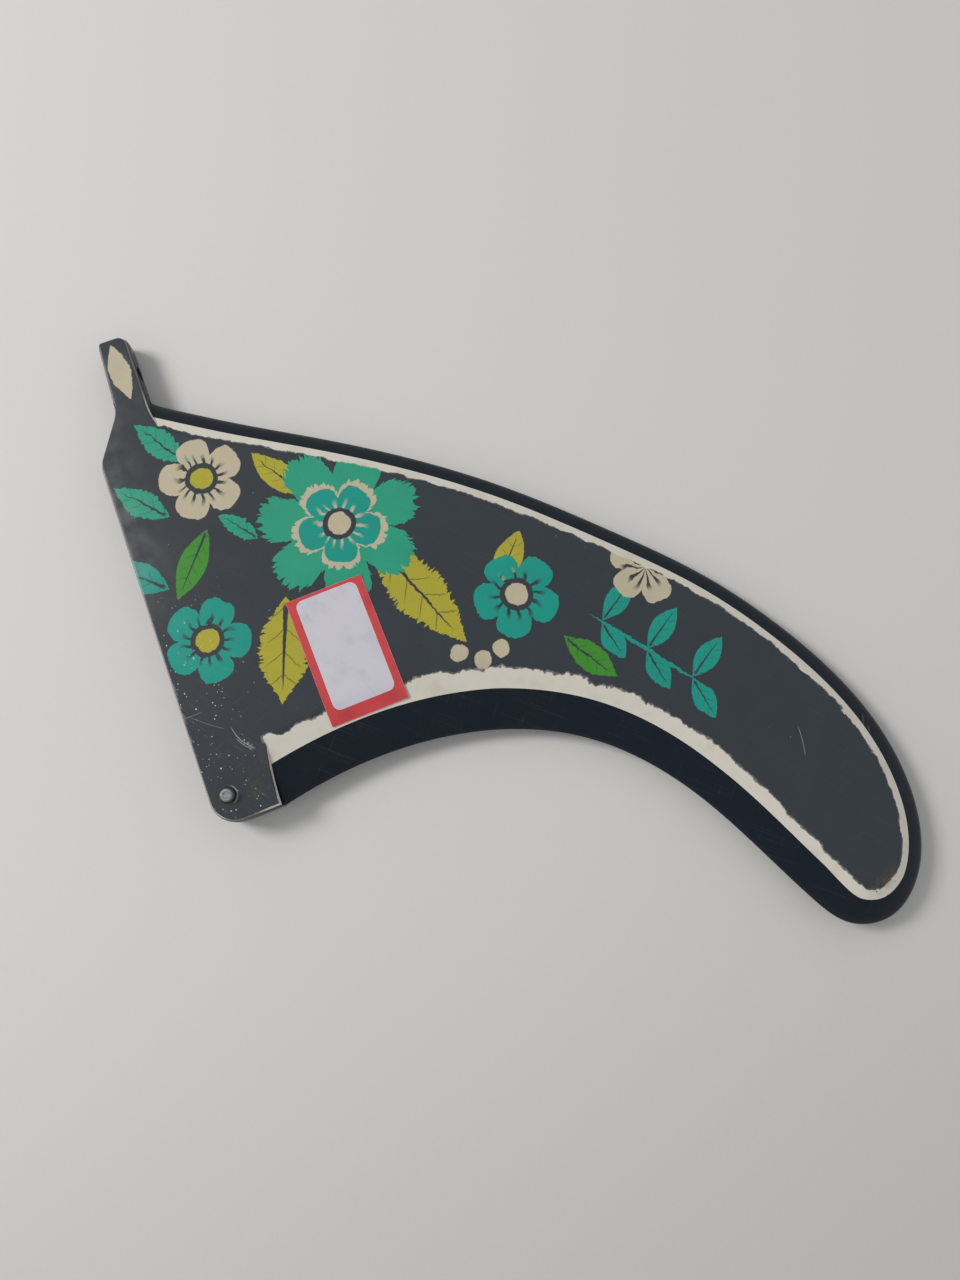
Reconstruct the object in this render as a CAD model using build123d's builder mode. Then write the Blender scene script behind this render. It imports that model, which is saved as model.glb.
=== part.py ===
from build123d import *
from math import pi, sin
import os

# Surfboard fin with a box base: a foiled laminate panel, its cross pin and a price label.
# Millimetres. The fin lies on its side: +Y runs from the foot of the base to the tip, +X to
# the rear, +Z up through the thickness. The origin is on the foot, near its middle, halfway
# through the panel.

# Plies, counted from the faces inwards
panel_half = 4.7
fabric_thickness = 0.3
white_thickness = 1.0

# Base that slides into the fin box, with its edges bevelled from a height above the middle
board_line = 20.6
base_rear = 62.6
rear_corner_radius = 8.5
board_corner_set_back = 0.4
wall_length = 19.4
wall_rise = 2.0
bevel_start = 2.4
bevel_slope = 0.37

# Front tang with its screw hole, and the ramp from its underside down to the foot
tang_front = -99.4
tang_nose_height = 9.6
tang_nose_radius = 3.0
tang_chin_radius = 1.6
ramp_start = -59.0
ramp_length = 15.4
ramp_rise = 9.7
ramp_foot_radius = 7.0
ramp_throat_radius = 10.0
heel_lag = 1.5
heel_length = 7.8
heel_rise = 1.5
screw_hole_radius = 2.4
screw_hole_inset = 13.2

# Outline of the blade, as distances behind the origin and heights above the board line, and
# round the tip as drops below its highest point. The leading edge starts inside the tang.
blade_depth = 178.4
leading_edge = [
    (-79.2, -1.3), (-75.0, 0.9), (-71.4, 5.5), (-60.1, 22.6), (-44.3, 48.2),
    (-7.3, 98.6), (16.4, 123.0), (42.6, 146.9), (65.2, 161.9),
]
tip_edge = [(119.3, 0.0), (150.0, 11.1), (156.0, 22.0), (153.2, 34.0), (143.3, 41.2)]
trailing_edge = [(101.5, 116.2), (76.0, 93.2), (61.6, 60.9), (58.5, 28.1)]
root_sink = 5.0

# Foil: the bands that sanding opens along the rim, as widths at shares of the way round
rim_shares = (0.0, 0.25, 0.59, 0.63, 0.67, 0.75, 0.87, 1.0)
black_band = (5.1, 5.0, 5.2, 7.3, 9.2, 9.9, 12.3, 12.4)
white_band = (2.8, 2.4, 2.3, 3.3, 3.0, 4.2, 6.2, 5.7)
fabric_band = (1.2, 1.2, 1.2, 1.6, 1.6, 1.8, 2.0, 2.0)
rim_stations = 32
foil_fullness = 1.8
foil_steps = (0.0, 0.24, 0.6, 1.0)

# Cross pin through the rear of the base
pin_radius = 2.0
pin_clearance = 0.02
pin_length = 14.0
pin_chamfer = 0.4
pin_from_rear = 8.8
pin_height = 6.3

# Price label on the upper face, red with a white window
label_centre = (24.8, 53.8)
label_size = (41.3, 24.7)
label_turn = 1.2
label_thickness = 0.16
label_corner_radius = 0.6
window_size = (36.1, 19.7)
window_corner_radius = 2.2
window_shift = -1.5
window_thickness = 0.06

# Printed flowers and leaves, cut with straight snips as block print is: where the blooms stand,
# and the sizes that they share. A petal runs from a notch over a shoulder, tip and shoulder,
# each given as shares of the way across the petal and of the flower's reach.
petal_outline = ((0.0, 0.62), (0.18, 0.91), (0.5, 1.0), (0.82, 0.91))
bloom_centre = (-14.0, 65.0)
bloom_petals = 7
bloom_reach = 25.0
bloom_turn = 14.0
bloom_heart_reach = 13.0
cream_flower_centre = (-43.0, 29.0)
upper_flower_centre = (27.0, 108.5)
lower_flower_centre = (7.0, 15.0)
flower_petals = 5
flower_reach = 13.0
eye_radius = 3.6
berry_radius = 2.7
dot_sides = 8
leaf_steps = 5
leaf_half_width = 4.2
sprig_leaf_half_width = 3.5

core_half = panel_half - fabric_thickness - white_thickness
white_half = panel_half - fabric_thickness
bore_radius = pin_radius + pin_clearance
pin_place = (base_rear - pin_from_rear, pin_height)

os.makedirs("parts", exist_ok=True)


def save(builder, name):
    """Labels a finished piece and writes it."""
    builder.part.label = name
    export_step(builder.part, f"parts/{name}.step")


# Outer edge of the blade, from inside the tang round the tip to the board line
edge_points = [(x, board_line + height) for x, height in leading_edge]
edge_points += [(x, board_line + blade_depth - drop) for x, drop in tip_edge]
edge_points += [(x, board_line + height) for x, height in trailing_edge]
edge_points += [(base_rear - board_corner_set_back, board_line)]
blade_edge = Spline(*edge_points)


def between(marks, share):
    """Value at a share of the way round the rim, on straight lines between the marks."""
    for low, high, start, end in zip(rim_shares, rim_shares[1:], marks, marks[1:]):
        if share <= high:
            return start + (end - start) * (share - low) / (high - low)
    return marks[-1]


def foiled_inset(height):
    """How far the core's rim has drawn in at a height above the middle, round the outline."""
    return lambda share: between(black_band, share) * (height / core_half) ** foil_fullness


def white_inset(share):
    """Inner edge of the white band."""
    return between(black_band, share) + between(white_band, share)


def face_inset(share):
    """Edge of the flat face."""
    return white_inset(share) + between(fabric_band, share)


def blade_section(height, inset):
    """Section of the blade at a height, with its rim drawn in by inset and its root in the base."""
    rim_points = []
    for station in range(rim_stations + 1):
        share = station / rim_stations
        place, way = blade_edge @ share, blade_edge % share
        rim_points.append(place + Vector(way.Y, -way.X) * inset(share))
    with BuildSketch(Plane.XY.offset(height)) as section:
        with BuildLine():
            rim = Spline(*[(point.X, point.Y) for point in rim_points])
            rear = rim @ 1 - Vector(root_sink, root_sink)
            Polyline((rim_points[-1].X, rim_points[-1].Y), (rear.X, rear.Y), (rim_points[0].X, rim_points[0].Y))
        make_face()
    return section.sketch


# Outline of the base with its tang, where it is full size
ramp_foot = (ramp_start, 0)
ramp_throat = (ramp_start - ramp_length, ramp_rise)
tang_chin = (tang_front, board_line - tang_nose_height)
tang_nose = (tang_front, board_line)
heel_start = (leading_edge[1][0] + heel_lag, board_line)
heel_end = (heel_start[0] + heel_length, board_line + heel_rise)
board_corner = (base_rear - board_corner_set_back, board_line)
wall_start = (board_corner[0] - wall_length, board_line + wall_rise)
with BuildSketch() as base_outline:
    with BuildLine():
        TangentArc(heel_start, heel_end, tangent=(1, 0))
        Line(heel_end, wall_start)
        TangentArc(board_corner, wall_start, tangent=(-1, 0))
        Polyline(board_corner, (base_rear, 0), ramp_foot, ramp_throat, tang_chin, tang_nose, heel_start)
    make_face()
    for corner, radius in (
        ((base_rear, 0), rear_corner_radius),
        (ramp_foot, ramp_foot_radius),
        (ramp_throat, ramp_throat_radius),
        (tang_chin, tang_chin_radius),
        (tang_nose, tang_nose_radius),
    ):
        fillet(base_outline.vertices().sort_by_distance(corner)[0], radius)


def base_section(height):
    """Section of the base at a height, drawn in by its bevel."""
    with BuildSketch(Plane.XY.offset(height)) as section:
        add(base_outline.sketch)
        if abs(height) > bevel_start:
            offset(amount=(bevel_start - abs(height)) * bevel_slope, kind=Kind.INTERSECTION)
    return section.sketch


# Black core: thick laminate, foiled to both edges, with the screw hole up through the tang
with BuildPart() as core_laminate:
    for low, high in zip(foil_steps, foil_steps[1:]):
        for side in (1, -1):
            lower = blade_section(side * low * core_half, foiled_inset(low * core_half))
            upper = blade_section(side * high * core_half, foiled_inset(high * core_half))
            loft([lower, upper], ruled=True)
    loft([base_section(height) for height in (-core_half, -bevel_start, bevel_start, core_half)], ruled=True)
    with Locations(Location((tang_front + screw_hole_inset, board_line / 2, 0), (90, 0, 0))):
        Hole(screw_hole_radius)
    with Locations(pin_place):
        Hole(bore_radius)
save(core_laminate, "core_laminate")

# White ply on each side of the core, bared as a band between the core and the printed cloth
with BuildPart() as white_ply_top:
    loft(
        [blade_section(core_half, foiled_inset(core_half)), blade_section(white_half, white_inset)],
        ruled=True,
    )
    loft([base_section(core_half), base_section(white_half)], ruled=True)
    with Locations(pin_place):
        Hole(bore_radius)
save(white_ply_top, "white_ply_top")

with BuildPart() as white_ply_bottom:
    mirror(white_ply_top.part, about=Plane.XY)
save(white_ply_bottom, "white_ply_bottom")

# Cloth ply before its print is let in
with BuildPart() as plain_cloth:
    loft([blade_section(white_half, white_inset), blade_section(panel_half, face_inset)], ruled=True)
    loft([base_section(white_half), base_section(panel_half)], ruled=True)
    with Locations(pin_place):
        Hole(bore_radius)


def flower(centre, petals=flower_petals, reach=flower_reach, turn=0):
    """Open flower, as one outline round its centre."""
    outline = []
    for petal in range(petals):
        for across, out in petal_outline:
            way = Vector(reach * out, 0).rotate(Axis.Z, turn + 360 * (petal + across) / petals)
            outline.append(way + Vector(*centre))
    with BuildSketch(mode=Mode.PRIVATE) as bloom:
        with BuildLine():
            Polyline(*outline, close=True)
        make_face()
    return bloom.sketch


def leaf(base, tip, half_width=leaf_half_width):
    """Leaf with a point at each end, widest in its middle."""
    stem = Vector(*tip) - Vector(*base)
    side = stem.normalized().rotate(Axis.Z, 90) * half_width
    shares = [step / leaf_steps for step in range(1, leaf_steps)]
    outward = [Vector(*base) + stem * share + side * sin(pi * share) for share in shares]
    homeward = [Vector(*base) + stem * share - side * sin(pi * share) for share in reversed(shares)]
    with BuildSketch(mode=Mode.PRIVATE) as outline:
        with BuildLine():
            Polyline(Vector(*base), *outward, Vector(*tip), *homeward, close=True)
        make_face()
    return outline.sketch


def dot(centre, radius):
    """Berry or flower eye."""
    with BuildSketch(mode=Mode.PRIVATE) as disc:
        with Locations(centre):
            RegularPolygon(radius, dot_sides)
    return disc.sketch


# Sprig up the blade: paired leaves along a straight stem
sprig_pairs = 3
sprig_foot = Vector(44.0, 130.0)
sprig_step = Vector(13.0, 9.5)
sprig_spread = Vector(-9.0, 14.0)
sprig_reach = Vector(14.0, 2.0)
stem_half_width = 0.9
sprig = [leaf(sprig_foot - sprig_step / 2, sprig_foot + sprig_step * (sprig_pairs - 0.5), stem_half_width)]
for pair in range(sprig_pairs):
    joint = sprig_foot + sprig_step * pair
    sprig.append(leaf(joint, joint + sprig_spread, sprig_leaf_half_width))
    sprig.append(leaf(joint, joint + sprig_reach, sprig_leaf_half_width))

print_shapes = {
    "chartreuse": [
        leaf((2.0, 42.0), (34.0, 30.0), 8.0),
        leaf((-6.0, 72.0), (36.0, 89.0), 8.0),
        leaf((-26.0, 58.0), (-46.0, 46.0)),
        leaf((22.0, 104.0), (8.0, 117.0)),
    ],
    "leaf_green": [leaf((-27.0, 26.0), (-8.0, 10.0)), leaf((44.0, 117.0), (62.0, 128.0))],
    "sea_green": [
        flower(bloom_centre, bloom_petals, bloom_reach, bloom_turn),
        leaf((-49.0, 27.0), (-68.0, 14.0)),
    ],
    "teal": [
        flower(bloom_centre, reach=bloom_heart_reach, turn=20),
        flower(upper_flower_centre, turn=10),
        flower(lower_flower_centre, turn=35),
        *sprig,
    ],
    "cream": [
        flower(cream_flower_centre, turn=54),
        dot(bloom_centre, eye_radius),
        dot(upper_flower_centre, eye_radius),
        dot((41.0, 98.0), berry_radius),
        dot((42.5, 91.5), berry_radius),
        dot((38.0, 85.5), berry_radius),
        leaf((-96.0, 15.0), (-77.0, 16.0), 3.2),
    ],
    "eyes": [dot(cream_flower_centre, eye_radius), dot(lower_flower_centre, eye_radius)],
}
colours = list(print_shapes)

# Colour fields of the print, let into the cloth so that each lies flush with it
fields = {}
for level, colour in enumerate(colours):
    with BuildSketch() as field:
        for shape in print_shapes[colour]:
            add(shape)
        for covering in colours[level + 1:]:
            for shape in print_shapes[covering]:
                add(shape, mode=Mode.SUBTRACT)
    fields[colour] = field.sketch

for colour in colours[:-1]:
    with BuildPart() as print_top:
        with BuildSketch(Plane.XY.offset(white_half)):
            add(fields[colour])
            if colour == "chartreuse":
                add(fields["eyes"])
        extrude(amount=fabric_thickness)
        add(plain_cloth.part, mode=Mode.INTERSECT)
    save(print_top, f"print_{colour}_top")
    with BuildPart() as print_bottom:
        mirror(print_top.part, about=Plane.XY)
    save(print_bottom, f"print_{colour}_bottom")

# Charcoal ground of the printed cloth, with room for every colour field
with BuildPart() as cloth_ply_top:
    add(plain_cloth.part)
    with BuildSketch(Plane.XY.offset(white_half)):
        for colour in colours:
            add(fields[colour])
    extrude(amount=fabric_thickness, mode=Mode.SUBTRACT)
save(cloth_ply_top, "cloth_ply_top")

with BuildPart() as cloth_ply_bottom:
    mirror(cloth_ply_top.part, about=Plane.XY)
save(cloth_ply_bottom, "cloth_ply_bottom")

# Steel cross pin, standing out of both faces
with BuildPart() as cross_pin:
    with BuildSketch(Plane.XY.offset(-pin_length / 2)):
        with Locations(pin_place):
            Circle(pin_radius)
    extrude(amount=pin_length)
    chamfer(cross_pin.edges().filter_by(GeomType.CIRCLE), pin_chamfer)
save(cross_pin, "cross_pin")

# Price label: a red paper rectangle with a bare white window
label_plane = Plane((*label_centre, panel_half), x_dir=(1, 0, 0)).rotated((0, 0, label_turn))
window_plane = label_plane.offset(label_thickness - window_thickness)
with BuildPart() as price_label:
    with BuildSketch(label_plane):
        RectangleRounded(*label_size, label_corner_radius)
    extrude(amount=label_thickness)
    with BuildSketch(window_plane):
        with Locations((window_shift, 0)):
            RectangleRounded(*window_size, window_corner_radius)
    extrude(amount=window_thickness, mode=Mode.SUBTRACT)
save(price_label, "price_label")

with BuildPart() as label_window:
    with BuildSketch(window_plane):
        with Locations((window_shift, 0)):
            RectangleRounded(*window_size, window_corner_radius)
    extrude(amount=window_thickness)
save(label_window, "label_window")
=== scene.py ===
"""Surfboard fin: a foiled laminate blade on its box base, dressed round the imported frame.

The fin lies on its side on a pale floor. Lengths are named in millimetres and turned to metres
where they meet Blender. The plies are one modelled body, sliced at the heights where the plies
meet, so that the sanded rim runs smoothly across them.
"""

import logging
import math
from collections.abc import Callable, Sequence
from dataclasses import dataclass, field
from enum import Enum

import bmesh
import bpy
import numpy as np
from mathutils import Matrix, Vector


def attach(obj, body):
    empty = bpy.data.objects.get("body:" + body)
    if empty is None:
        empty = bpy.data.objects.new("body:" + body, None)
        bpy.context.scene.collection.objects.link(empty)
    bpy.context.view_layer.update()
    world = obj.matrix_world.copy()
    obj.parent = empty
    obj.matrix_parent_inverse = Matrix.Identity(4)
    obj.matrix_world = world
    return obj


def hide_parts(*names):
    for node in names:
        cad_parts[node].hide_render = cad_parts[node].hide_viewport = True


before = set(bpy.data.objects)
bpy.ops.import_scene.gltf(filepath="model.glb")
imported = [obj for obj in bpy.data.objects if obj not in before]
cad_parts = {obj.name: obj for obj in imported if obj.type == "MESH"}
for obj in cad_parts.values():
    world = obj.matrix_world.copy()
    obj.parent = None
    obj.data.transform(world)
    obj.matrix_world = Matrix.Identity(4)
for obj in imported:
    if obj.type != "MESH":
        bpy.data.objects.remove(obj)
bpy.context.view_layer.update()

log = logging.getLogger("surfboard fin")

Colour = tuple[float, float, float]
Spot = tuple[float, float]
Place = tuple[float, float, float]

BODY = "root"

# Lengths are in millimetres and turns in degrees, and MM turns a length to metres. Points nearer
# to each other than MERGE are one, and a point nearer to a place than CLOSE counts as there.
MM = 0.001
MERGE = 0.001 * MM
CLOSE = 0.01 * MM
TOOTH_STEP = 2.3
PIN_CENTRE: Spot = (53.8, 6.3)
LABEL_CENTRE: Spot = (24.8, 53.8)
LABEL_SIZE: Spot = (41.3, 24.7)
LABEL_TURN = 1.2


class Tone(Enum):
    """Colours of the fin's materials and of its print, as linear red, green and blue."""

    CHARCOAL = (0.030, 0.038, 0.046)
    CHARTREUSE = (0.42, 0.375, 0.030)
    LEAF_GREEN = (0.046, 0.260, 0.022)
    SEA_GREEN = (0.020, 0.325, 0.195)
    TEAL = (0.003, 0.300, 0.232)
    CREAM = (0.52, 0.455, 0.320)
    # The core's black is also laid round the cross pin as painted shade.
    CORE = (0.0022, 0.0078, 0.0145)
    CORE_DUST = (0.10, 0.115, 0.115)
    WHITE_PLY = (0.68, 0.640, 0.555)
    WHITE_STAIN = (0.50, 0.440, 0.340)
    # The scratch tone also paints glints on the foot's edge, a painted highlight.
    SCRATCH = (0.34, 0.35, 0.35)
    CHIP = (0.62, 0.64, 0.64)
    SMUDGE = (0.090, 0.070, 0.048)
    STEEL = (0.30, 0.31, 0.312)
    # The steel grime tone also paints shade on the rim and sides of the pin.
    STEEL_GRIME = (0.075, 0.075, 0.072)
    INK_RED = (0.60, 0.042, 0.048)
    INK_WORN = (0.46, 0.034, 0.042)
    PAPER = (0.60, 0.580, 0.640)
    PAPER_SOIL = (0.40, 0.395, 0.46)
    FLOOR = (0.68, 0.67, 0.645)
    FLOOR_CLOUD = (0.70, 0.68, 0.66)


class Reading:
    """One number that varies over a surface, with its sums written as plain expressions."""

    def __init__(self, brush: "Brush", socket: bpy.types.NodeSocket) -> None:
        """Wraps a socket.

        Args:
            brush: The material's brush, which adds the nodes.
            socket: The output that gives the number.
        """
        self.brush = brush
        self.socket = socket

    def __add__(self, other: "Reading | float") -> "Reading":
        """Sum."""
        return self.brush.sum("ADD", self, other)

    def __radd__(self, other: float) -> "Reading":
        """Sum with a plain number first."""
        return self.brush.sum("ADD", other, self)

    def __sub__(self, other: "Reading | float") -> "Reading":
        """Difference."""
        return self.brush.sum("SUBTRACT", self, other)

    def __rsub__(self, other: float) -> "Reading":
        """Difference with a plain number first."""
        return self.brush.sum("SUBTRACT", other, self)

    def __mul__(self, other: "Reading | float") -> "Reading":
        """Product."""
        return self.brush.sum("MULTIPLY", self, other)

    def __rmul__(self, other: float) -> "Reading":
        """Product with a plain number first."""
        return self.brush.sum("MULTIPLY", other, self)

    def __truediv__(self, other: "Reading | float") -> "Reading":
        """Quotient."""
        return self.brush.sum("DIVIDE", self, other)

    def __pow__(self, other: float) -> "Reading":
        """Power."""
        return self.brush.sum("POWER", self, other)

    def __abs__(self) -> "Reading":
        """Size without its sign."""
        return self.brush.sum("ABSOLUTE", self)

    def __or__(self, other: "Reading") -> "Reading":
        """The larger of two covers, so that either shows."""
        return self.brush.sum("MAXIMUM", self, other)

    def least(self, other: "Reading | float") -> "Reading":
        """The smaller of two numbers."""
        return self.brush.sum("MINIMUM", self, other)

    def fraction(self) -> "Reading":
        """What is left above the whole number."""
        return self.brush.sum("FRACT", self)

    def hypotenuse(self, other: "Reading") -> "Reading":
        """Straight distance over two distances that are square to each other."""
        return self.brush.sum("SQRT", self * self + other * other)

    def sine(self) -> "Reading":
        """Sine of an angle in radians."""
        return self.brush.sum("SINE", self)

    def held(self) -> "Reading":
        """The number kept between 0 and 1."""
        return self.brush.sum("MINIMUM", self.brush.sum("MAXIMUM", self, 0.0), 1.0)

    def rise(self, low: float, high: float) -> "Reading":
        """Smooth step from 0 at low to 1 at high, or down where low is the larger.

        Args:
            low: Where it starts.
            high: Where it ends.

        Returns:
            The cover, from 0 to 1.
        """
        node = self.brush.node(
            "ShaderNodeMapRange",
            {"interpolation_type": "SMOOTHSTEP"},
            {"Value": self, "From Min": low, "From Max": high},
        )
        return Reading(self.brush, node.outputs["Result"])


class NodeTree:
    """Node tree of a material or of the world, started empty."""

    def __init__(self, tree: bpy.types.NodeTree) -> None:
        """Takes a tree over.

        Args:
            tree: Blender's node tree, whose nodes go.
        """
        self.tree = tree
        self.tree.nodes.clear()

    def node(
        self,
        kind: str,
        settings: dict[str, object] | None = None,
        sockets: dict[str | int, object] | None = None,
    ) -> bpy.types.Node:
        """Adds a node of any type.

        Args:
            kind: Blender's name for the type.
            settings: Properties, set before the sockets.
            sockets: Values or links of the inputs, by name or number.

        Returns:
            The node.
        """
        made = self.tree.nodes.new(kind)
        for name, value in (settings or {}).items():
            setattr(made, name, value)
        for name, value in (sockets or {}).items():
            self._feed(made.inputs[name], value)
        return made

    def _feed(self, inlet: bpy.types.NodeSocket, value: object) -> None:
        """Links or sets one input.

        Args:
            inlet: The input.
            value: A reading, a socket, a tone, a colour, a vector or a number.
        """
        if isinstance(value, Reading):
            value = value.socket
        if isinstance(value, Tone):
            value = value.value
        if isinstance(value, bpy.types.NodeSocket):
            self.tree.links.new(value, inlet)
        elif inlet.type == "RGBA":
            inlet.default_value = (*value, 1.0)
        else:
            inlet.default_value = value


class Brush(NodeTree):
    """Node tree of one material, reading the place on the object in millimetres."""

    def __init__(self, name: str) -> None:
        """Starts an empty material.

        Args:
            name: Name of the material.
        """
        self.material = bpy.data.materials.new(name)
        self.material.use_nodes = True
        super().__init__(self.material.node_tree)
        coordinates = self.node("ShaderNodeTexCoord")
        scaled = self.node(
            "ShaderNodeVectorMath",
            {"operation": "SCALE"},
            {"Vector": coordinates.outputs["Object"], "Scale": 1 / MM},
        )
        self.place = scaled.outputs["Vector"]
        split = self.node("ShaderNodeSeparateXYZ", {}, {"Vector": self.place})
        self.x, self.y, self.z = (Reading(self, split.outputs[axis]) for axis in "XYZ")

    def sum(self, operation: str, *terms: "Reading | float") -> Reading:
        """Adds one Math node.

        Args:
            operation: The sum to do.
            terms: What goes in, in order.

        Returns:
            Its result.
        """
        node = self.node("ShaderNodeMath", {"operation": operation}, dict(enumerate(terms)))
        return Reading(self, node.outputs["Value"])

    def blend(self, under: object, over: object, cover: "Reading | float") -> bpy.types.NodeSocket:
        """Lays one colour over another.

        Args:
            under: Colour below.
            over: Colour on top.
            cover: How much of the top one shows, from 0 to 1.

        Returns:
            The mixed colour.
        """
        node = self.node("ShaderNodeMix", {"data_type": "RGBA"}, {"Factor": cover})
        inlets = [socket for socket in node.inputs if socket.type == "RGBA"]
        self._feed(inlets[0], under)
        self._feed(inlets[1], over)
        return next(socket for socket in node.outputs if socket.type == "RGBA")

    def shade(self, colour: bpy.types.NodeSocket, strength: Reading) -> bpy.types.NodeSocket:
        """Makes a colour lighter or darker by a factor round 1."""
        return self.node(
            "ShaderNodeVectorMath", {"operation": "SCALE"}, {"Vector": colour, "Scale": strength}
        ).outputs["Vector"]

    def mapped(self, turn: float, size: Sequence[float], shift: float) -> bpy.types.NodeSocket:
        """Place in a pattern's own units.

        Args:
            turn: Turn of the pattern about Z, in degrees.
            size: Size of one unit of the pattern along its X, Y and Z, in millimetres.
            shift: Moves the pattern, so that two of them differ.

        Returns:
            The vector for a texture node.
        """
        turned = self.node(
            "ShaderNodeVectorRotate",
            {"rotation_type": "Z_AXIS"},
            {"Vector": self.place, "Angle": math.radians(-turn)},
        )
        scaled = self.node(
            "ShaderNodeVectorMath",
            {"operation": "MULTIPLY_ADD"},
            {
                0: turned.outputs["Vector"],
                1: [1 / side for side in size],
                2: (shift, shift * 0.7, shift * 1.3),
            },
        )
        return scaled.outputs["Vector"]

    def cloud(self, size: float, detail: float = 2.0, shift: float = 0.0) -> Reading:
        """Cloudy noise round a half.

        Args:
            size: Width of its features, in millimetres.
            detail: How much finer noise is in it.
            shift: Moves the pattern, so that two of them differ.

        Returns:
            The noise, from 0 to 1.
        """
        return self.streaks(0.0, (size, size, size), detail, shift)

    def streaks(
        self, turn: float, size: Sequence[float], detail: float = 0.0, shift: float = 0.0
    ) -> Reading:
        """Noise drawn out along one way.

        Args:
            turn: Way of the streaks, in degrees from X.
            size: Length, width and depth of the streaks, in millimetres.
            detail: How much finer noise is in it.
            shift: Moves the pattern, so that two of them differ.

        Returns:
            The noise, from 0 to 1.
        """
        place = self.mapped(turn, size, shift)
        noise = self.node(
            "ShaderNodeTexNoise", {}, {"Vector": place, "Scale": 1.0, "Detail": detail}
        )
        return Reading(self, noise.outputs["Fac"])

    def specks(self, spacing: float, radius: float, share: float, shift: float = 0.0) -> Reading:
        """Scattered round specks.

        Args:
            spacing: Rough distance between places for a speck, in millimetres.
            radius: Size of a speck, in millimetres.
            share: Share of the places that have one.
            shift: Moves the pattern, so that two of them differ.

        Returns:
            The specks' cover, from 0 to 1.
        """
        cells = self.node(
            "ShaderNodeTexVoronoi",
            {"feature": "F1"},
            {"Vector": self.mapped(31.0, (spacing, spacing, spacing * 4), shift), "Scale": 1.0},
        )
        luck = self.node("ShaderNodeSeparateColor", {}, {"Color": cells.outputs["Color"]})
        near = Reading(self, cells.outputs["Distance"]) * spacing
        size = Reading(self, luck.outputs["Green"]) * radius + radius * 0.4
        chosen = Reading(self, luck.outputs["Red"]).rise(share + 0.01, share)
        return (size - near).rise(0.0, radius * 0.5) * chosen

    def scratches(
        self, turn: float, length: float, width: float, rarity: float, shift: float
    ) -> Reading:
        """Straight hairline scratches along one way.

        Args:
            turn: Way of the scratches, in degrees from X.
            length: Their rough length, in millimetres.
            width: Their rough width, in millimetres.
            rarity: Noise level that a scratch starts from. Higher leaves fewer.
            shift: Moves the pattern, so that two of them differ.

        Returns:
            The scratches' cover, from 0 to 1.
        """
        return self.streaks(turn, (length, width, 40.0), 0.0, shift).rise(rarity, rarity + 0.06)

    def patch(self, centre: Spot, reach: Spot, turn: float = 0.0) -> Reading:
        """Soft oval patch.

        Args:
            centre: Its middle, in millimetres.
            reach: Half its length and half its width, in millimetres.
            turn: Way of its length, in degrees from X.

        Returns:
            1 in the middle, falling to 0 at the oval's edge.
        """
        along, across = self.local(centre, turn)
        return (along / reach[0]).hypotenuse(across / reach[1]).rise(1.0, 0.15)

    def local(self, centre: Spot, turn: float) -> tuple[Reading, Reading]:
        """Distances along and across a line through a point.

        Args:
            centre: The point, in millimetres.
            turn: Way of the line, in degrees from X.

        Returns:
            The distance along and the distance across, in millimetres.
        """
        cosine, sine = math.cos(math.radians(turn)), math.sin(math.radians(turn))
        aside, ahead = self.x - centre[0], self.y - centre[1]
        return aside * cosine + ahead * sine, ahead * cosine - aside * sine

    def arc_line(
        self, centre: Spot, radius: float, middle: float, spread: float, width: float
    ) -> Reading:
        """Thin line along an arc, such as a curved scratch.

        Args:
            centre: Middle of the arc's circle, in millimetres.
            radius: Radius of the circle, in millimetres.
            middle: Direction of the arc's middle from the centre, in degrees.
            spread: Half the angle that the arc covers, in degrees.
            width: Width of the line, in millimetres.

        Returns:
            The line's cover, from 0 to 1.
        """
        along, across = self.local(centre, middle)
        angle = abs(self.sum("ARCTAN2", across, along))
        line = abs(along.hypotenuse(across) - radius).rise(width, width * 0.3)
        return line * angle.rise(math.radians(spread), math.radians(spread * 0.7))

    def surface(
        self, sockets: dict[str | int, object], height: Reading | None = None, depth: float = 0.0
    ) -> bpy.types.Material:
        """Ends the material with its shader.

        Args:
            sockets: Values or links of the Principled shader.
            height: Height of the fine relief, from 0 to 1, or None for a smooth surface.
            depth: What a height of 1 stands for, in millimetres.

        Returns:
            The finished material.
        """
        if height is not None:
            relief = {"Height": height, "Distance": depth * MM, "Strength": 1.0}
            bump = self.node("ShaderNodeBump", {}, relief)
            sockets = {**sockets, "Normal": bump.outputs["Normal"]}
        shader = self.node("ShaderNodeBsdfPrincipled", {}, sockets)
        self.node("ShaderNodeOutputMaterial", {}, {"Surface": shader.outputs["BSDF"]})
        return self.material


@dataclass(frozen=True)
class Flower:
    """Open flower of the print, seen from straight above."""

    centre: Spot
    reach: float
    petals: int = 5
    turn: float = 0.0
    notch: float = 0.38
    notch_sharpness: float = 3.4
    toothed: float = 0.0
    strokes: int = 0

    def cover(self, tear: "Tear") -> Reading:
        """Where the flower is, less the brush strokes that run out from its heart.

        Args:
            tear: Unevenness of the print's edges.

        Returns:
            Its cover, from 0 to 1.
        """
        across, up = tear.x - self.centre[0], tear.y - self.centre[1]
        out = across.hypotenuse(up)
        angle = tear.brush.sum("ARCTAN2", up, across)
        first_petal = (2.0 - self.turn / 360) * self.petals
        petal = (angle * (self.petals / math.tau) + first_petal).fraction()
        to_notch = abs(petal * 2.0 - 1.0) ** self.notch_sharpness
        edge = self.reach - to_notch * (self.reach * self.notch)
        if self.toothed:
            edge = edge - tear.teeth(angle * (self.reach * 0.8)) * self.toothed
        cover = (edge - out).rise(-tear.softness, tear.softness)
        if self.strokes:
            wave = (angle * float(self.strokes) + tear.slow * 9.0).sine().rise(0.25, 0.75)
            near_heart = (out - tear.slow * 4.0).rise(self.reach * 0.55, self.reach * 0.3)
            cover = cover * (1 - wave * near_heart)
        return cover


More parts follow.
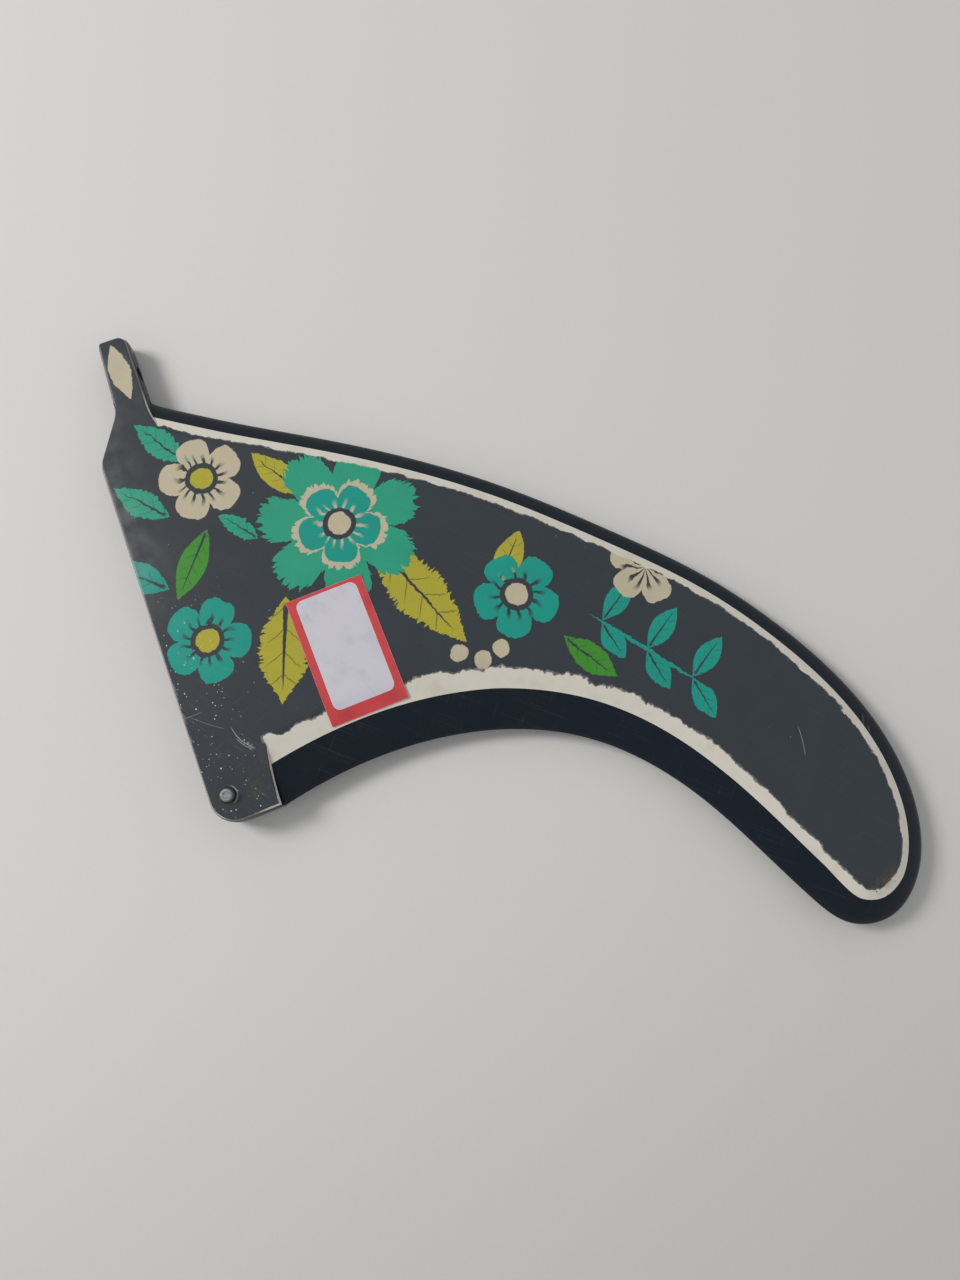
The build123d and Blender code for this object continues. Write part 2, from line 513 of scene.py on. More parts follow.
@dataclass(frozen=True)
class Leaf:
    """Leaf of the print, with a point at each end and a rib along its middle."""

    base: Spot
    tip: Spot
    half_width: float = 4.2
    ribbed: bool = True
    toothed: float = 0.0

    def cover(self, tear: "Tear") -> Reading:
        """Where the leaf is, less its middle rib and its side veins.

        Args:
            tear: Unevenness of the print's edges.

        Returns:
            Its cover, from 0 to 1.
        """
        length = math.dist(self.base, self.tip)
        way = ((self.tip[0] - self.base[0]) / length, (self.tip[1] - self.base[1]) / length)
        aside, ahead = tear.x - self.base[0], tear.y - self.base[1]
        share = aside * (way[0] / length) + ahead * (way[1] / length)
        across = abs(ahead * way[0] - aside * way[1])
        swell = (share.held() * math.pi).sine()
        edge = swell * self.half_width - tear.softness * 1.5
        if self.toothed:
            edge = edge - tear.teeth(share * length) * swell * self.toothed
        cover = (edge - across).rise(-tear.softness, tear.softness)
        if not self.ribbed:
            return cover
        rib = (across - (1 - share) * (self.half_width * 0.10)).rise(0.16, -0.12)
        step = self.half_width * 0.8
        between_veins = (share * (length / step) - across * (0.9 / step)).fraction()
        vein = abs(between_veins - 0.5).rise(0.06, 0.01)
        vein = vein * across.rise(self.half_width * 0.75, self.half_width * 0.35)
        return cover * (1 - (rib | vein * 0.6) * share.rise(0.05, 0.12) * share.rise(0.90, 0.78))


@dataclass(frozen=True)
class Dot:
    """Berry or flower eye of the print."""

    centre: Spot
    radius: float

    def cover(self, tear: "Tear") -> Reading:
        """Where the dot is.

        Args:
            tear: Unevenness of the print's edges.

        Returns:
            Its cover, from 0 to 1.
        """
        across, up = tear.x - self.centre[0], tear.y - self.centre[1]
        return (self.radius - across.hypotenuse(up)).rise(-tear.softness, tear.softness)


class Tear:
    """Place in the print, with the uneven edges that a brushed and block-cut print has."""

    def __init__(self, brush: Brush, swing: float, softness: float) -> None:
        """Works out the uneven place.

        Args:
            brush: The material's brush.
            swing: How far an edge wanders, in millimetres.
            softness: Half the width of an edge, in millimetres.
        """
        self.brush = brush
        self.softness = softness
        self.slow = brush.cloud(7.0, 1.0, 3.1)
        quick = brush.cloud(1.6, 2.0, 8.4)
        self.x = brush.x + (self.slow - 0.5) * (swing * 2.4) + (quick - 0.5) * (swing * 1.8)
        self.y = brush.y + (self.slow - 0.5) * (swing * -1.8) + (quick - 0.5) * (swing * -1.6)

    def teeth(self, way: Reading) -> Reading:
        """Uneven pointed teeth along an edge.

        Args:
            way: Distance along the edge, in millimetres.

        Returns:
            How far the edge is cut back, from 0 to 1.
        """
        saw = (way / TOOTH_STEP + self._along(way * 0.35) * 2.6).fraction()
        return abs(saw - 0.35) * (self._along(way * 0.21) * 2.4).held()

    def _along(self, way: Reading) -> Reading:
        """Noise along an edge.

        Args:
            way: Distance along the edge, in the noise's own units.

        Returns:
            The noise, from 0 to 1.
        """
        noise = self.brush.node(
            "ShaderNodeTexNoise", {"noise_dimensions": "1D"}, {"W": way, "Scale": 1.0}
        )
        return Reading(self.brush, noise.outputs["Fac"])


@dataclass(frozen=True)
class FloralPrint:
    """Printed cloth: flowers and leaves on a charcoal ground, the same on both faces."""

    bloom: Flower = Flower((-14.0, 65.0), 26.4, 7, 14.0, toothed=4.2)
    bloom_heart: Flower = Flower((-14.0, 65.0), 13.0, 5, 20.0, strokes=14)
    bloom_halo: Flower = Flower((-14.0, 65.0), 15.6, 5, 20.0, toothed=2.4)
    cream_flower: Flower = Flower((-43.0, 29.0), 13.4, 5, 0.0, strokes=15)
    upper_flower: Flower = Flower((27.0, 108.5), 13.4, 5, 10.0, strokes=12)
    lower_flower: Flower = Flower((7.0, 15.0), 13.4, 5, 35.0, strokes=13)
    eye_radius: float = 3.6
    eye_ring: float = 1.6
    berry_radius: float = 2.7
    chartreuse_leaves: tuple[Leaf, ...] = (
        Leaf((2.0, 42.0), (34.0, 30.0), 8.8, toothed=3.4),
        Leaf((-6.0, 72.0), (36.0, 89.0), 8.8, toothed=3.4),
        Leaf((-26.0, 58.0), (-46.0, 46.0), 4.6),
        Leaf((22.0, 104.0), (8.0, 117.0), 4.6),
    )
    green_leaves: tuple[Leaf, ...] = (
        Leaf((-27.0, 26.0), (-8.0, 10.0), 4.6),
        Leaf((44.0, 117.0), (62.0, 128.0), 4.6),
    )
    sea_leaves: tuple[Leaf, ...] = (
        Leaf((-49.0, 27.0), (-68.0, 14.0), 4.8, toothed=1.4),
        Leaf((-34.0, 16.0), (-50.0, 2.0), 5.0, toothed=1.4),
        Leaf((-18.0, 40.0), (-30.0, 30.0), 3.6, toothed=1.2),
    )
    cream_leaf: Leaf = Leaf((-97.0, 15.0), (-76.0, 16.0), 3.6, ribbed=False)
    cut_sea_flower: Flower = Flower((53.0, 74.0), 13.0, 6, 12.0, toothed=2.6)
    cut_cream_flower: Flower = Flower((33.0, 149.0), 11.5, 5, 40.0, strokes=12)
    cut_teal_leaf: Leaf = Leaf((-12.0, 9.0), (-27.0, -6.0), 5.2)
    berries: tuple[Spot, ...] = ((41.0, 98.0), (42.5, 91.5), (38.0, 85.5))
    sprig_foot: Spot = (44.0, 130.0)
    sprig_step: Spot = (13.0, 9.5)
    sprig_spread: Spot = (-9.0, 14.0)
    sprig_reach: Spot = (14.0, 2.0)
    sprig_pairs: int = 3
    sprig_leaf_half_width: float = 3.7
    stem_half_width: float = 0.9
    swing: float = 0.6
    softness: float = 0.16

    def sprig(self) -> list[Leaf]:
        """Paired leaves along a straight stem.

        Returns:
            The stem and its leaves.
        """
        foot, step = Vector(self.sprig_foot), Vector(self.sprig_step)
        stem_tip = foot + step * (self.sprig_pairs - 0.5)
        parts = [Leaf(tuple(foot - step / 2), tuple(stem_tip), self.stem_half_width, ribbed=False)]
        for pair in range(self.sprig_pairs):
            joint = foot + step * pair
            for way in (self.sprig_spread, self.sprig_reach):
                tip = tuple(joint + Vector(way))
                parts.append(Leaf(tuple(joint), tip, self.sprig_leaf_half_width))
        return parts

    def paint(self, brush: Brush) -> bpy.types.NodeSocket:
        """Colour of the cloth before wear.

        Args:
            brush: The material's brush.

        Returns:
            The colour.
        """
        tear = Tear(brush, self.swing, self.softness)
        eyes = [Dot(flower.centre, self.eye_radius) for flower in self._flowers()]
        rings = [Dot(flower.centre, self.eye_radius + self.eye_ring) for flower in self._flowers()]
        berries = [Dot(berry, self.berry_radius) for berry in self.berries]
        teal_flowers = (self.bloom_heart, self.upper_flower, self.lower_flower)
        layers = (
            (Tone.CHARTREUSE, self.chartreuse_leaves),
            (Tone.LEAF_GREEN, self.green_leaves),
            (Tone.SEA_GREEN, (self.bloom, self.cut_sea_flower, *self.sea_leaves)),
            (Tone.CREAM, (self.bloom_halo,)),
            (Tone.TEAL, (*teal_flowers, self.cut_teal_leaf, *self.sprig())),
            (Tone.CREAM, (self.cream_flower, self.cut_cream_flower)),
            (Tone.CHARCOAL, rings),
            (Tone.CREAM, (*eyes[:2], *berries, self.cream_leaf)),
            (Tone.CHARTREUSE, eyes[2:]),
        )
        colour: object = Tone.CHARCOAL
        for tone, motifs in layers:
            cover = motifs[0].cover(tear)
            for motif in motifs[1:]:
                cover = cover | motif.cover(tear)
            colour = brush.blend(colour, tone, cover)
        return colour

    def _flowers(self) -> tuple[Flower, ...]:
        """Flowers that have an eye, those with a cream one first."""
        return self.bloom_heart, self.upper_flower, self.cream_flower, self.lower_flower


@dataclass(frozen=True)
class Plies:
    """Heights of the plies above the middle of the panel, in millimetres."""

    core: float = 3.4
    white: float = 4.4
    face: float = 4.7


@dataclass(frozen=True)
class LaminateFinish:
    """Finishes of the three kinds of ply, with the wear of use and of sanding, and painted glints
    and painted shade.
    """

    plies: Plies = Plies()
    cloth_print: FloralPrint = FloralPrint()
    pin_centre: Spot = PIN_CENTRE
    coat_roughness: float = 0.22
    # Patches of wear: the middle and the reach of each, and its turn where it has one of its own.
    root_bared: tuple[Spot, Spot] = ((42.2, 23.4), (4.2, 3.6))
    root_bared_above: tuple[Spot, Spot] = ((43.5, 29.5), (5.0, 3.0))
    root_clad: tuple[Spot, Spot] = ((41.0, 26.8), (2.1, 1.5))
    tip_smudge: tuple[Spot, Spot] = ((145.5, 178.0), (9.0, 3.4))
    tip_dots: tuple[Spot, Spot] = ((147.5, 176.0), (13.0, 5.5))
    tip_turn: float = -62.0
    corner_smudge: tuple[Spot, Spot] = ((55.0, 15.0), (6.0, 4.5))
    heel_smudge: tuple[Spot, Spot] = ((46.5, 20.5), (6.0, 3.0))
    rubbed_tang: tuple[Spot, Spot] = ((-84.0, 15.0), (18.0, 9.0))
    gouge: tuple[Spot, Spot] = ((41.6, 16.3), (3.2, 1.5))
    rim_chips: tuple[tuple[Spot, Spot, float], ...] = (
        ((100.0, 192.9), (2.2, 0.34), -24.0),
        ((103.2, 193.2), (1.5, 0.3), -20.0),
    )
    # Each one's circle, its middle direction, half its angle, its width and its strength.
    curved_scratches: tuple[tuple[Spot, float, float, float, float, float], ...] = (
        ((33.0, 26.5), 13.2, 300.0, 24.0, 0.18, 1.0),
        ((33.0, 26.5), 13.8, 306.0, 13.0, 0.15, 1.0),
        ((31.0, 28.5), 16.0, 303.0, 10.0, 0.13, 1.0),
        ((-32.5, 4.2), 60.0, -1.0, 3.4, 0.13, 0.8),
        ((-15.5, 44.5), 60.0, -39.0, 6.3, 0.12, 0.6),
        ((92.2, 132.1), 41.0, 80.0, 7.0, 0.13, 1.0),
    )

    def _bared(self, brush: Brush) -> Reading:
        """Where sanding has gone through the cloth to the white ply, along a ragged line.

        Args:
            brush: The material's brush.

        Returns:
            The white ply's cover, from 0 to 1.
        """
        rag = (brush.cloud(6.5, 1.0, 21.0) - 0.5) * 0.75
        rag = rag + (brush.cloud(1.5, 2.0, 27.0) - 0.5) * 0.42
        nicks = brush.specks(5.2, 0.9, 0.45, 5.0) * 0.20 - brush.specks(2.2, 0.35, 0.30, 9.0) * 0.14
        root = brush.patch(*self.root_bared, 75.0) * 0.50
        root = root + brush.patch(*self.root_bared_above, 90.0) * 0.22
        root = root - brush.patch(*self.root_clad) * 0.22
        sloping = abs(brush.z).rise(self.plies.face - 0.004, self.plies.face - 0.08)
        near = sloping | root.rise(0.0, 0.1)
        depth = abs(brush.z) + (rag - nicks) * near - root
        above = depth - self.plies.white
        return above.rise(0.018, -0.018) | above.rise(0.16, 0.0) * 0.30

    def _cloth_colour(self, brush: Brush) -> bpy.types.NodeSocket:
        """Printed cloth with its weave, seen through the resin.

        Args:
            brush: The material's brush.

        Returns:
            The colour.
        """
        colour = self.cloth_print.paint(brush)
        thread = (0.9, 0.32, 2.0)
        weave = brush.streaks(18.0, thread, 1.0, 2.0) + brush.streaks(108.0, thread, 1.0, 9.0)
        tone = 0.74 + weave * 0.16 + brush.cloud(9.0, 4.0, 44.0) * 0.22
        return brush.shade(colour, tone)

    def _white_colour(self, brush: Brush) -> bpy.types.NodeSocket:
        """Cream white ply, a little stained.

        Args:
            brush: The material's brush.

        Returns:
            The colour.
        """
        stain = brush.cloud(9.0, 3.0, 60.0).rise(0.52, 0.78) * 0.4
        stain = stain + brush.specks(3.4, 0.24, 0.08, 71.0) * 0.9
        colour = brush.blend(Tone.WHITE_PLY, Tone.WHITE_STAIN, stain.held())
        dirt = brush.x.rise(-72.0, -80.0) | brush.x.rise(58.5, 60.5) * brush.y.rise(17.0, 11.0)
        colour = brush.blend(colour, Tone.CHARCOAL, (dirt | brush.y.rise(3.0, 0.8) * 0.6) * 0.85)
        return brush.shade(colour, 0.96 + brush.cloud(2.0, 2.0, 12.0) * 0.07)

    def _base_wear(self, brush: Brush) -> Reading:
        """How much a place on the base has been rubbed in the fin box."""
        return brush.y.rise(34.0, 12.0) * brush.x.rise(-26.0, 30.0)

    def _scuffs(self, brush: Brush) -> tuple[Reading, Reading]:
        """Light specks and scratches, most of them on the rear of the base.

        Args:
            brush: The material's brush.

        Returns:
            The specks' cover and the scratches' cover, from 0 to 1.
        """
        worn = self._base_wear(brush)
        crowd = brush.y.rise(20.0, 14.0) * brush.x.rise(-14.0, 4.0)
        crowd = crowd * brush.cloud(6.0, 2.0, 77.0).rise(0.38, 0.60)
        specks = brush.specks(1.1, 0.20, 0.66, 4.0) * crowd
        specks = specks + brush.specks(2.2, 0.27, 0.40, 14.0) * worn
        fine = brush.scratches(38.0, 16.0, 0.15, 0.745, 3.0)
        fine = fine | brush.scratches(112.0, 12.0, 0.13, 0.775, 6.0)
        deep = brush.patch(*self.gouge, 42.0) * brush.cloud(0.7, 1.0, 66.0).rise(0.50, 0.62)
        for *arc, strength in self.curved_scratches:
            deep = deep | brush.arc_line(*arc) * strength
        faint_dust = brush.specks(3.2, 0.15, 0.30, 33.0) * 0.4
        return (specks + faint_dust).held(), (fine * (worn * 0.16 + 0.05) + deep * 0.7).held()

    def _haze_and_glints(self, brush: Brush) -> Reading:
        """Chalky rubbing along the foot and on the tang, and along the foot's edge a painted
        highlight of glints and a light rubbed line.

        Args:
            brush: The material's brush.

        Returns:
            Its cover, from 0 to 1.
        """
        foot = brush.y.rise(15.0, 1.0) * brush.x.rise(5.0, -30.0)
        tang = brush.patch(*self.rubbed_tang) * 0.6
        rubbed = brush.cloud(6.5, 5.0, 50.0).rise(0.30, 0.78)
        # Painted highlight: glints along the foot's edge between x 14 and 42 mm, laid on as a
        # lighter colour.
        glint = brush.x.rise(14.0, 20.0) * brush.x.rise(42.0, 34.0)
        glint = glint * brush.cloud(1.6, 2.0, 61.0).rise(0.46, 0.62)
        edge = abs(brush.z).rise(3.0, 3.6) * brush.y.rise(1.6, 1.0)
        edge = edge * (glint * 2.2 + brush.x.rise(0.0, -30.0) * 0.6)
        return ((foot + tang) * (rubbed * 0.8) + edge).held()

    def _smudge(self, brush: Brush) -> Reading:
        """Brown resin stain by the tip and at the rear corner of the base.

        Args:
            brush: The material's brush.

        Returns:
            Its cover, from 0 to 1.
        """
        tip = brush.patch(*self.tip_smudge, self.tip_turn)
        corner = brush.patch(*self.corner_smudge, 20.0) * 0.35
        heel = brush.patch(*self.heel_smudge) * 0.4
        return ((tip | corner | heel) * brush.cloud(2.4, 3.0, 17.0).rise(0.28, 0.70)).held()

    def _pin_shade_and_chips(self, brush: Brush) -> tuple[Reading, Reading]:
        """Painted shade of the gap round the cross pin, as a dark ring, and chipped resin beside
        it.

        Args:
            brush: The material's brush.

        Returns:
            The painted shade's cover and the chips' cover, from 0 to 1.
        """
        along, across = brush.local(self.pin_centre, 80.0)
        out = along.hypotenuse(across)
        # Painted shade: a dark ring out to about 2.85 mm stands for the shaded gap and the pin's
        # shadow on the cloth.
        gap = (out + brush.cloud(1.2, 1.0, 5.0) * 0.35).rise(2.85, 2.45)
        chips = abs(out - 2.9).rise(0.26, 0.08) * (along / (out + 0.01)).rise(0.20, 0.75)
        return gap, chips

    def clad(self) -> bpy.types.Material:
        """Material of the printed cloth and of the white ply bared at its edge, under clear resin.

        Returns:
            The material.
        """
        brush = Brush("printed_cloth_and_white_ply")
        bared = self._bared(brush)
        colour = brush.blend(self._cloth_colour(brush), self._white_colour(brush), bared)
        specks, scuffs = self._scuffs(brush)
        haze_and_glints = self._haze_and_glints(brush)
        gap, chips = self._pin_shade_and_chips(brush)
        colour = brush.blend(colour, Tone.SMUDGE, self._smudge(brush) * (0.7 - bared * 0.3))
        dots = brush.patch(*self.tip_dots, self.tip_turn).rise(0.0, 0.3)
        dots = dots * brush.specks(1.2, 0.26, 0.65, 13.0)
        # Marks laid over the colour: wear, and painted light, namely glints on the foot's edge and
        # shade round the cross pin.
        wear_and_painted_light = (
            (Tone.CORE, dots * 0.8),
            # Rubbing on the foot and tang, with painted highlights of glints on the foot's edge.
            (Tone.SCRATCH, haze_and_glints * 0.35),
            (Tone.SCRATCH, scuffs),
            (Tone.CHIP, specks * 0.85),
            # Painted shade round the cross pin, in the core's black.
            (Tone.CORE, gap),
            (Tone.SCRATCH, chips * 0.8),
        )
        for tone, cover in wear_and_painted_light:
            colour = brush.blend(colour, tone, cover)
        rough = 0.38 + haze_and_glints * 0.2 + scuffs * 0.2 + (brush.cloud(22.0, 2.0, 90.0) - 0.5) * 0.16
        relief = brush.cloud(3.5, 2.0, 31.0) * 0.5 - scuffs * 0.3
        return brush.surface(
            {
                "Base Color": colour,
                "Roughness": rough.held(),
                "Coat Weight": (0.32 - haze_and_glints * 0.25).held(),
                "Coat Roughness": self.coat_roughness,
                "IOR": 1.45,
                "Specular IOR Level": 0.35,
            },
            relief,
            0.03,
        )

    def core(self) -> bpy.types.Material:
        """Material of the black core, sanded and gloss coated.

        Returns:
            The material.
        """
        brush = Brush("black_laminate_in_resin")
        along_rear = brush.scratches(48.0, 26.0, 0.15, 0.735, 40.0)
        crossing = brush.scratches(140.0, 9.0, 0.14, 0.76, 23.0)
        dust = brush.specks(2.8, 0.13, 0.25, 7.0)
        first_chip, second_chip = (brush.patch(*chip) for chip in self.rim_chips)
        chips = first_chip | second_chip
        marks = (along_rear * 0.45 + crossing * 0.4 + dust * 0.4 + chips * 3.0).held()
        fibre = brush.streaks(45.0, (3.0, 0.5, 1.0), 2.0, 1.0) * 0.5
        fibre = fibre + brush.cloud(12.0, 3.0, 2.0) * 0.5
        dusty = (marks * 0.5 + fibre.rise(0.42, 0.9) * 0.04).held()
        return brush.surface(
            {
                "Base Color": brush.blend(Tone.CORE, Tone.CORE_DUST, dusty),
                "Roughness": (0.30 + marks * 0.25 + (fibre - 0.5) * 0.2).held(),
                "Coat Weight": 0.18,
                "Coat Roughness": 0.18,
                "IOR": 1.45,
                "Specular IOR Level": 0.22,
            },
            brush.cloud(5.0, 2.0, 31.0) * 0.6 - marks * 0.2,
            0.025,
        )


@dataclass(frozen=True)
class SteelFinish:
    """Dull turned steel of the cross pin."""

    centre: Spot = PIN_CENTRE

    def material(self) -> bpy.types.Material:
        """Material of the pin.

        Returns:
            The material.
        """
        brush = Brush("dull_turned_steel")
        along, across = brush.local(self.centre, 0.0)
        out = along.hypotenuse(across)
        rings = (out * 22.0 + brush.cloud(0.8, 2.0, 4.0) * 3.0).sine() * 0.5 + 0.5
        # Grime in cloudy patches, and painted shade darkening the pin from 1.55 mm out, on its rim
        # and sides.
        grime_and_rim_shade = brush.cloud(1.1, 3.0, 9.0).rise(0.48, 0.75) | out.rise(1.55, 1.95) * 0.7
        return brush.surface(
            {
                "Base Color": brush.blend(Tone.STEEL, Tone.STEEL_GRIME, (grime_and_rim_shade * 0.75).held()),
                "Metallic": (0.75 - grime_and_rim_shade * 0.5).held(),
                "Roughness": (0.52 + rings * 0.10 + grime_and_rim_shade * 0.2).held(),
            },
            rings,
            0.006,
        )


@dataclass(frozen=True)
class PaperFinish:
    """Coated paper of the price label, in red ink or bare."""

    centre: Spot = LABEL_CENTRE
    size: Spot = LABEL_SIZE
    turn: float = LABEL_TURN
    relief: float = 0.02

    def _fibres(self, brush: Brush) -> Reading:
        """Fine felt of the paper."""
        long_fibres = brush.streaks(12.0, (0.8, 0.16, 1.0), 2.0, 5.0)
        return long_fibres * 0.5 + brush.streaks(97.0, (0.7, 0.15, 1.0), 2.0, 8.0) * 0.5

    def inked(self) -> bpy.types.Material:
        """Material of the red frame.

        Returns:
            The material.
        """
        brush = Brush("red_inked_paper")
        along, across = brush.local(self.centre, self.turn)
        from_end = self.size[0] / 2 - abs(along)
        from_side = self.size[1] / 2 - abs(across)
        fibres = self._fibres(brush)
        rubbed = (from_end.least(from_side) + fibres * 0.45).rise(0.38, 0.18)
        worn = brush.cloud(6.0, 3.0, 2.0).rise(0.45, 0.8)
        ink = brush.blend(Tone.INK_RED, Tone.INK_WORN, worn)
        ink = brush.shade(ink, 0.88 + fibres * 0.24)
        return brush.surface(
            {
                "Base Color": brush.blend(ink, Tone.PAPER, rubbed * 0.55),
                "Roughness": (0.46 + fibres * 0.15).held(),
                "Coat Weight": 0.15,
                "Coat Roughness": 0.35,
            },
            fibres,
            self.relief,
        )

    def bare(self) -> bpy.types.Material:
        """Material of the bare window, a little soiled by handling.

        Returns:
            The material.
        """
        brush = Brush("bare_white_paper")
        fibres = self._fibres(brush)
        soil = brush.cloud(7.0, 4.0, 12.0).rise(0.46, 0.78) * 0.5
        soil = soil + brush.streaks(20.0, (5.0, 1.2, 3.0), 3.0, 3.0).rise(0.58, 0.8) * 0.3
        colour = brush.blend(Tone.PAPER, Tone.PAPER_SOIL, soil.held())
        return brush.surface(
            {
                "Base Color": brush.shade(colour, 0.94 + fibres * 0.12),
                "Roughness": (0.55 + fibres * 0.12).held(),
            },
            fibres,
            self.relief,
        )


class Bench:
    """Blender's tools as they are used by hand, with the selection kept in order."""

    @staticmethod
    def clear() -> None:
        """Leaves nothing selected, in object mode."""
        if bpy.context.object and bpy.context.object.mode != "OBJECT":
            bpy.ops.object.mode_set(mode="OBJECT")
        bpy.ops.object.select_all(action="DESELECT")

    @classmethod
    def hold(cls, piece: bpy.types.Object) -> None:
        """Makes one object the only selected and the active one.

        Args:
            piece: The object.
        """
        cls.clear()
        piece.select_set(True)
        bpy.context.view_layer.objects.active = piece

    @classmethod
    def edit(cls, piece: bpy.types.Object, mode: str = "FACE") -> None:
        """Opens an object for editing with all of it selected.

        Args:
            piece: The object.
            mode: What is picked: VERT, EDGE or FACE.
        """
        cls.hold(piece)
        bpy.ops.object.mode_set(mode="EDIT")
        bpy.ops.mesh.select_mode(type=mode)
        bpy.ops.mesh.select_all(action="SELECT")

    @staticmethod
    def shut() -> None:
        """Goes back to object mode."""
        bpy.ops.object.mode_set(mode="OBJECT")

    @staticmethod
    def pick(piece: bpy.types.Object, chosen: Callable[..., bool], kind: str = "faces") -> None:
        """Selects the faces, edges or vertices that a test accepts.

        Args:
            piece: The object, open for editing.
            chosen: A test of one bmesh element.
            kind: faces, edges or verts.
        """
        body = bmesh.from_edit_mesh(piece.data)
        bpy.ops.mesh.select_all(action="DESELECT")
        chosen_ones = [element for element in getattr(body, kind) if chosen(element)]
        for element in chosen_ones:
            element.select_set(True)
        body.select_flush(kind != "verts" or bool(chosen_ones))
        bmesh.update_edit_mesh(piece.data)

    @classmethod
    def apply(cls, piece: bpy.types.Object, kind: str, **settings: object) -> None:
        """Adds a modifier, sets it and applies it.

        Args:
            piece: The object.
            kind: Blender's name for the modifier.
            settings: Its properties.
        """
        cls.hold(piece)
        modifier = piece.modifiers.new(kind.lower(), kind)
        for name, value in settings.items():
            setattr(modifier, name, value)
        bpy.ops.object.modifier_apply(modifier=modifier.name)

    @classmethod
    def carve(cls, piece: bpy.types.Object, tool: bpy.types.Object, operation: str) -> None:
        """Joins, or takes away, the shape of another object, which goes.

        Args:
            piece: The object that stays.
            tool: The other one.
            operation: UNION or DIFFERENCE.
        """
        cls.apply(piece, "BOOLEAN", operation=operation, solver="EXACT", object=tool)
        bpy.data.objects.remove(tool, do_unlink=True)

    @classmethod
    def flat_face(cls, corners: Sequence[Place]) -> bpy.types.Object:
        """Starts a piece as one flat face, with its corners numbered in order.

        Args:
            corners: Their places, in millimetres.

        Returns:
            The face, open for editing with all of it selected.
        """
        cls.clear()
        bpy.ops.mesh.primitive_circle_add(
            vertices=len(corners), radius=0.1, fill_type="NGON", location=(0, 0, 0)
        )
        face = bpy.context.object
        order = face.data.attributes.new("station", "INT", "POINT")
        order.data.foreach_set("value", list(range(len(corners))))
        cls.edit(face)
        cls.place_loop(face, corners)
        return face

    @staticmethod
    def place_loop(piece: bpy.types.Object, loop: Sequence[Place]) -> None:
        """Moves the selected loop's vertices to their stations.

        Args:
            piece: The object, open for editing.
            loop: Place of each station, in millimetres.
        """
        body = bmesh.from_edit_mesh(piece.data)
        order = body.verts.layers.int["station"]
        for vertex in body.verts:
            if vertex.select:
                vertex.co = Vector(loop[vertex[order]]) * MM
        bmesh.update_edit_mesh(piece.data)

    @classmethod
    def rod(
        cls, centre: Place, radius: float, length: float, sides: int = 64, tilt: float = 0.0
    ) -> bpy.types.Object:
        """Adds a round rod.

        Args:
            centre: Its middle, in millimetres.
            radius: Its radius, in millimetres.
            length: Its length, in millimetres.
            sides: Number of its sides.
            tilt: Turn from upright about X, in degrees.

        Returns:
            The rod.
        """
        cls.clear()
        bpy.ops.mesh.primitive_cylinder_add(
            vertices=sides,
            radius=radius * MM,
            depth=length * MM,
            location=[value * MM for value in centre],
            rotation=(math.radians(tilt), 0, 0),
        )
        bpy.ops.object.transform_apply(location=True, rotation=True, scale=True)
        return bpy.context.object

    @classmethod
    def mirror_down(cls, piece: bpy.types.Object) -> None:
        """Opens a half at the middle plane and mirrors it below that plane.

        Args:
            piece: The upper half, open for editing.
        """
        cls.pick(piece, lambda face: all(vertex.co.z < CLOSE for vertex in face.verts))
        bpy.ops.mesh.delete(type="ONLY_FACE")
        cls.shut()
        cls.apply(
            piece,
            "MIRROR",
            use_axis=(False, False, True),
            use_mirror_merge=True,
            merge_threshold=MERGE,
        )
        cls.edit(piece)
        bpy.ops.mesh.normals_make_consistent(inside=False)
        cls.shut()

    @classmethod
    def finish(
        cls,
        piece: bpy.types.Object,
        name: str,
        angle: float = 30.0,
        cut_heights: Sequence[float] = (),
    ) -> None:
        """Names a piece, points its faces outwards and smooths it.

        Args:
            piece: The object.
            name: Its name.
            angle: Edges flatter than this, in degrees, are smooth.
            cut_heights: Heights at which a cut leaves sharp edges, in millimetres.
        """
        piece.name = piece.data.name = name
        cls.edit(piece)
        bpy.ops.mesh.normals_make_consistent(inside=False)
        cls.shut()
        cls.hold(piece)
        bpy.ops.object.transform_apply(location=True, rotation=True, scale=True)
        bpy.ops.object.shade_smooth_by_angle(angle=math.radians(angle))
        if cut_heights:
            cls.edit(piece, "EDGE")
            cls.pick(
                piece,
                lambda edge: any(
                    all(abs(vertex.co.z - height * MM) < 2 * MERGE for vertex in edge.verts)
                    for height in cut_heights
                ),
                "edges",
            )
            bpy.ops.mesh.mark_sharp()
            cls.shut()
        even = {"mode": "FACE_AREA_WITH_ANGLE", "weight": 100, "keep_sharp": True}
        cls.apply(piece, "WEIGHTED_NORMAL", **even)
        cls.clear()


def dress(piece: bpy.types.Object, material: bpy.types.Material, slot: str, *nodes: str) -> None:
    """Gives a piece its material and its place in the frame.

    Args:
        piece: The object.
        material: Its finish.
        slot: Not used.
        nodes: The CAD nodes that it stands for.
    """
    piece.data.materials.clear()
    piece.data.materials.append(material)
    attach(piece, BODY)
    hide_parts(*nodes)
    log.info("%s: %d faces, finish %s", piece.name, len(piece.data.polygons), material.name)


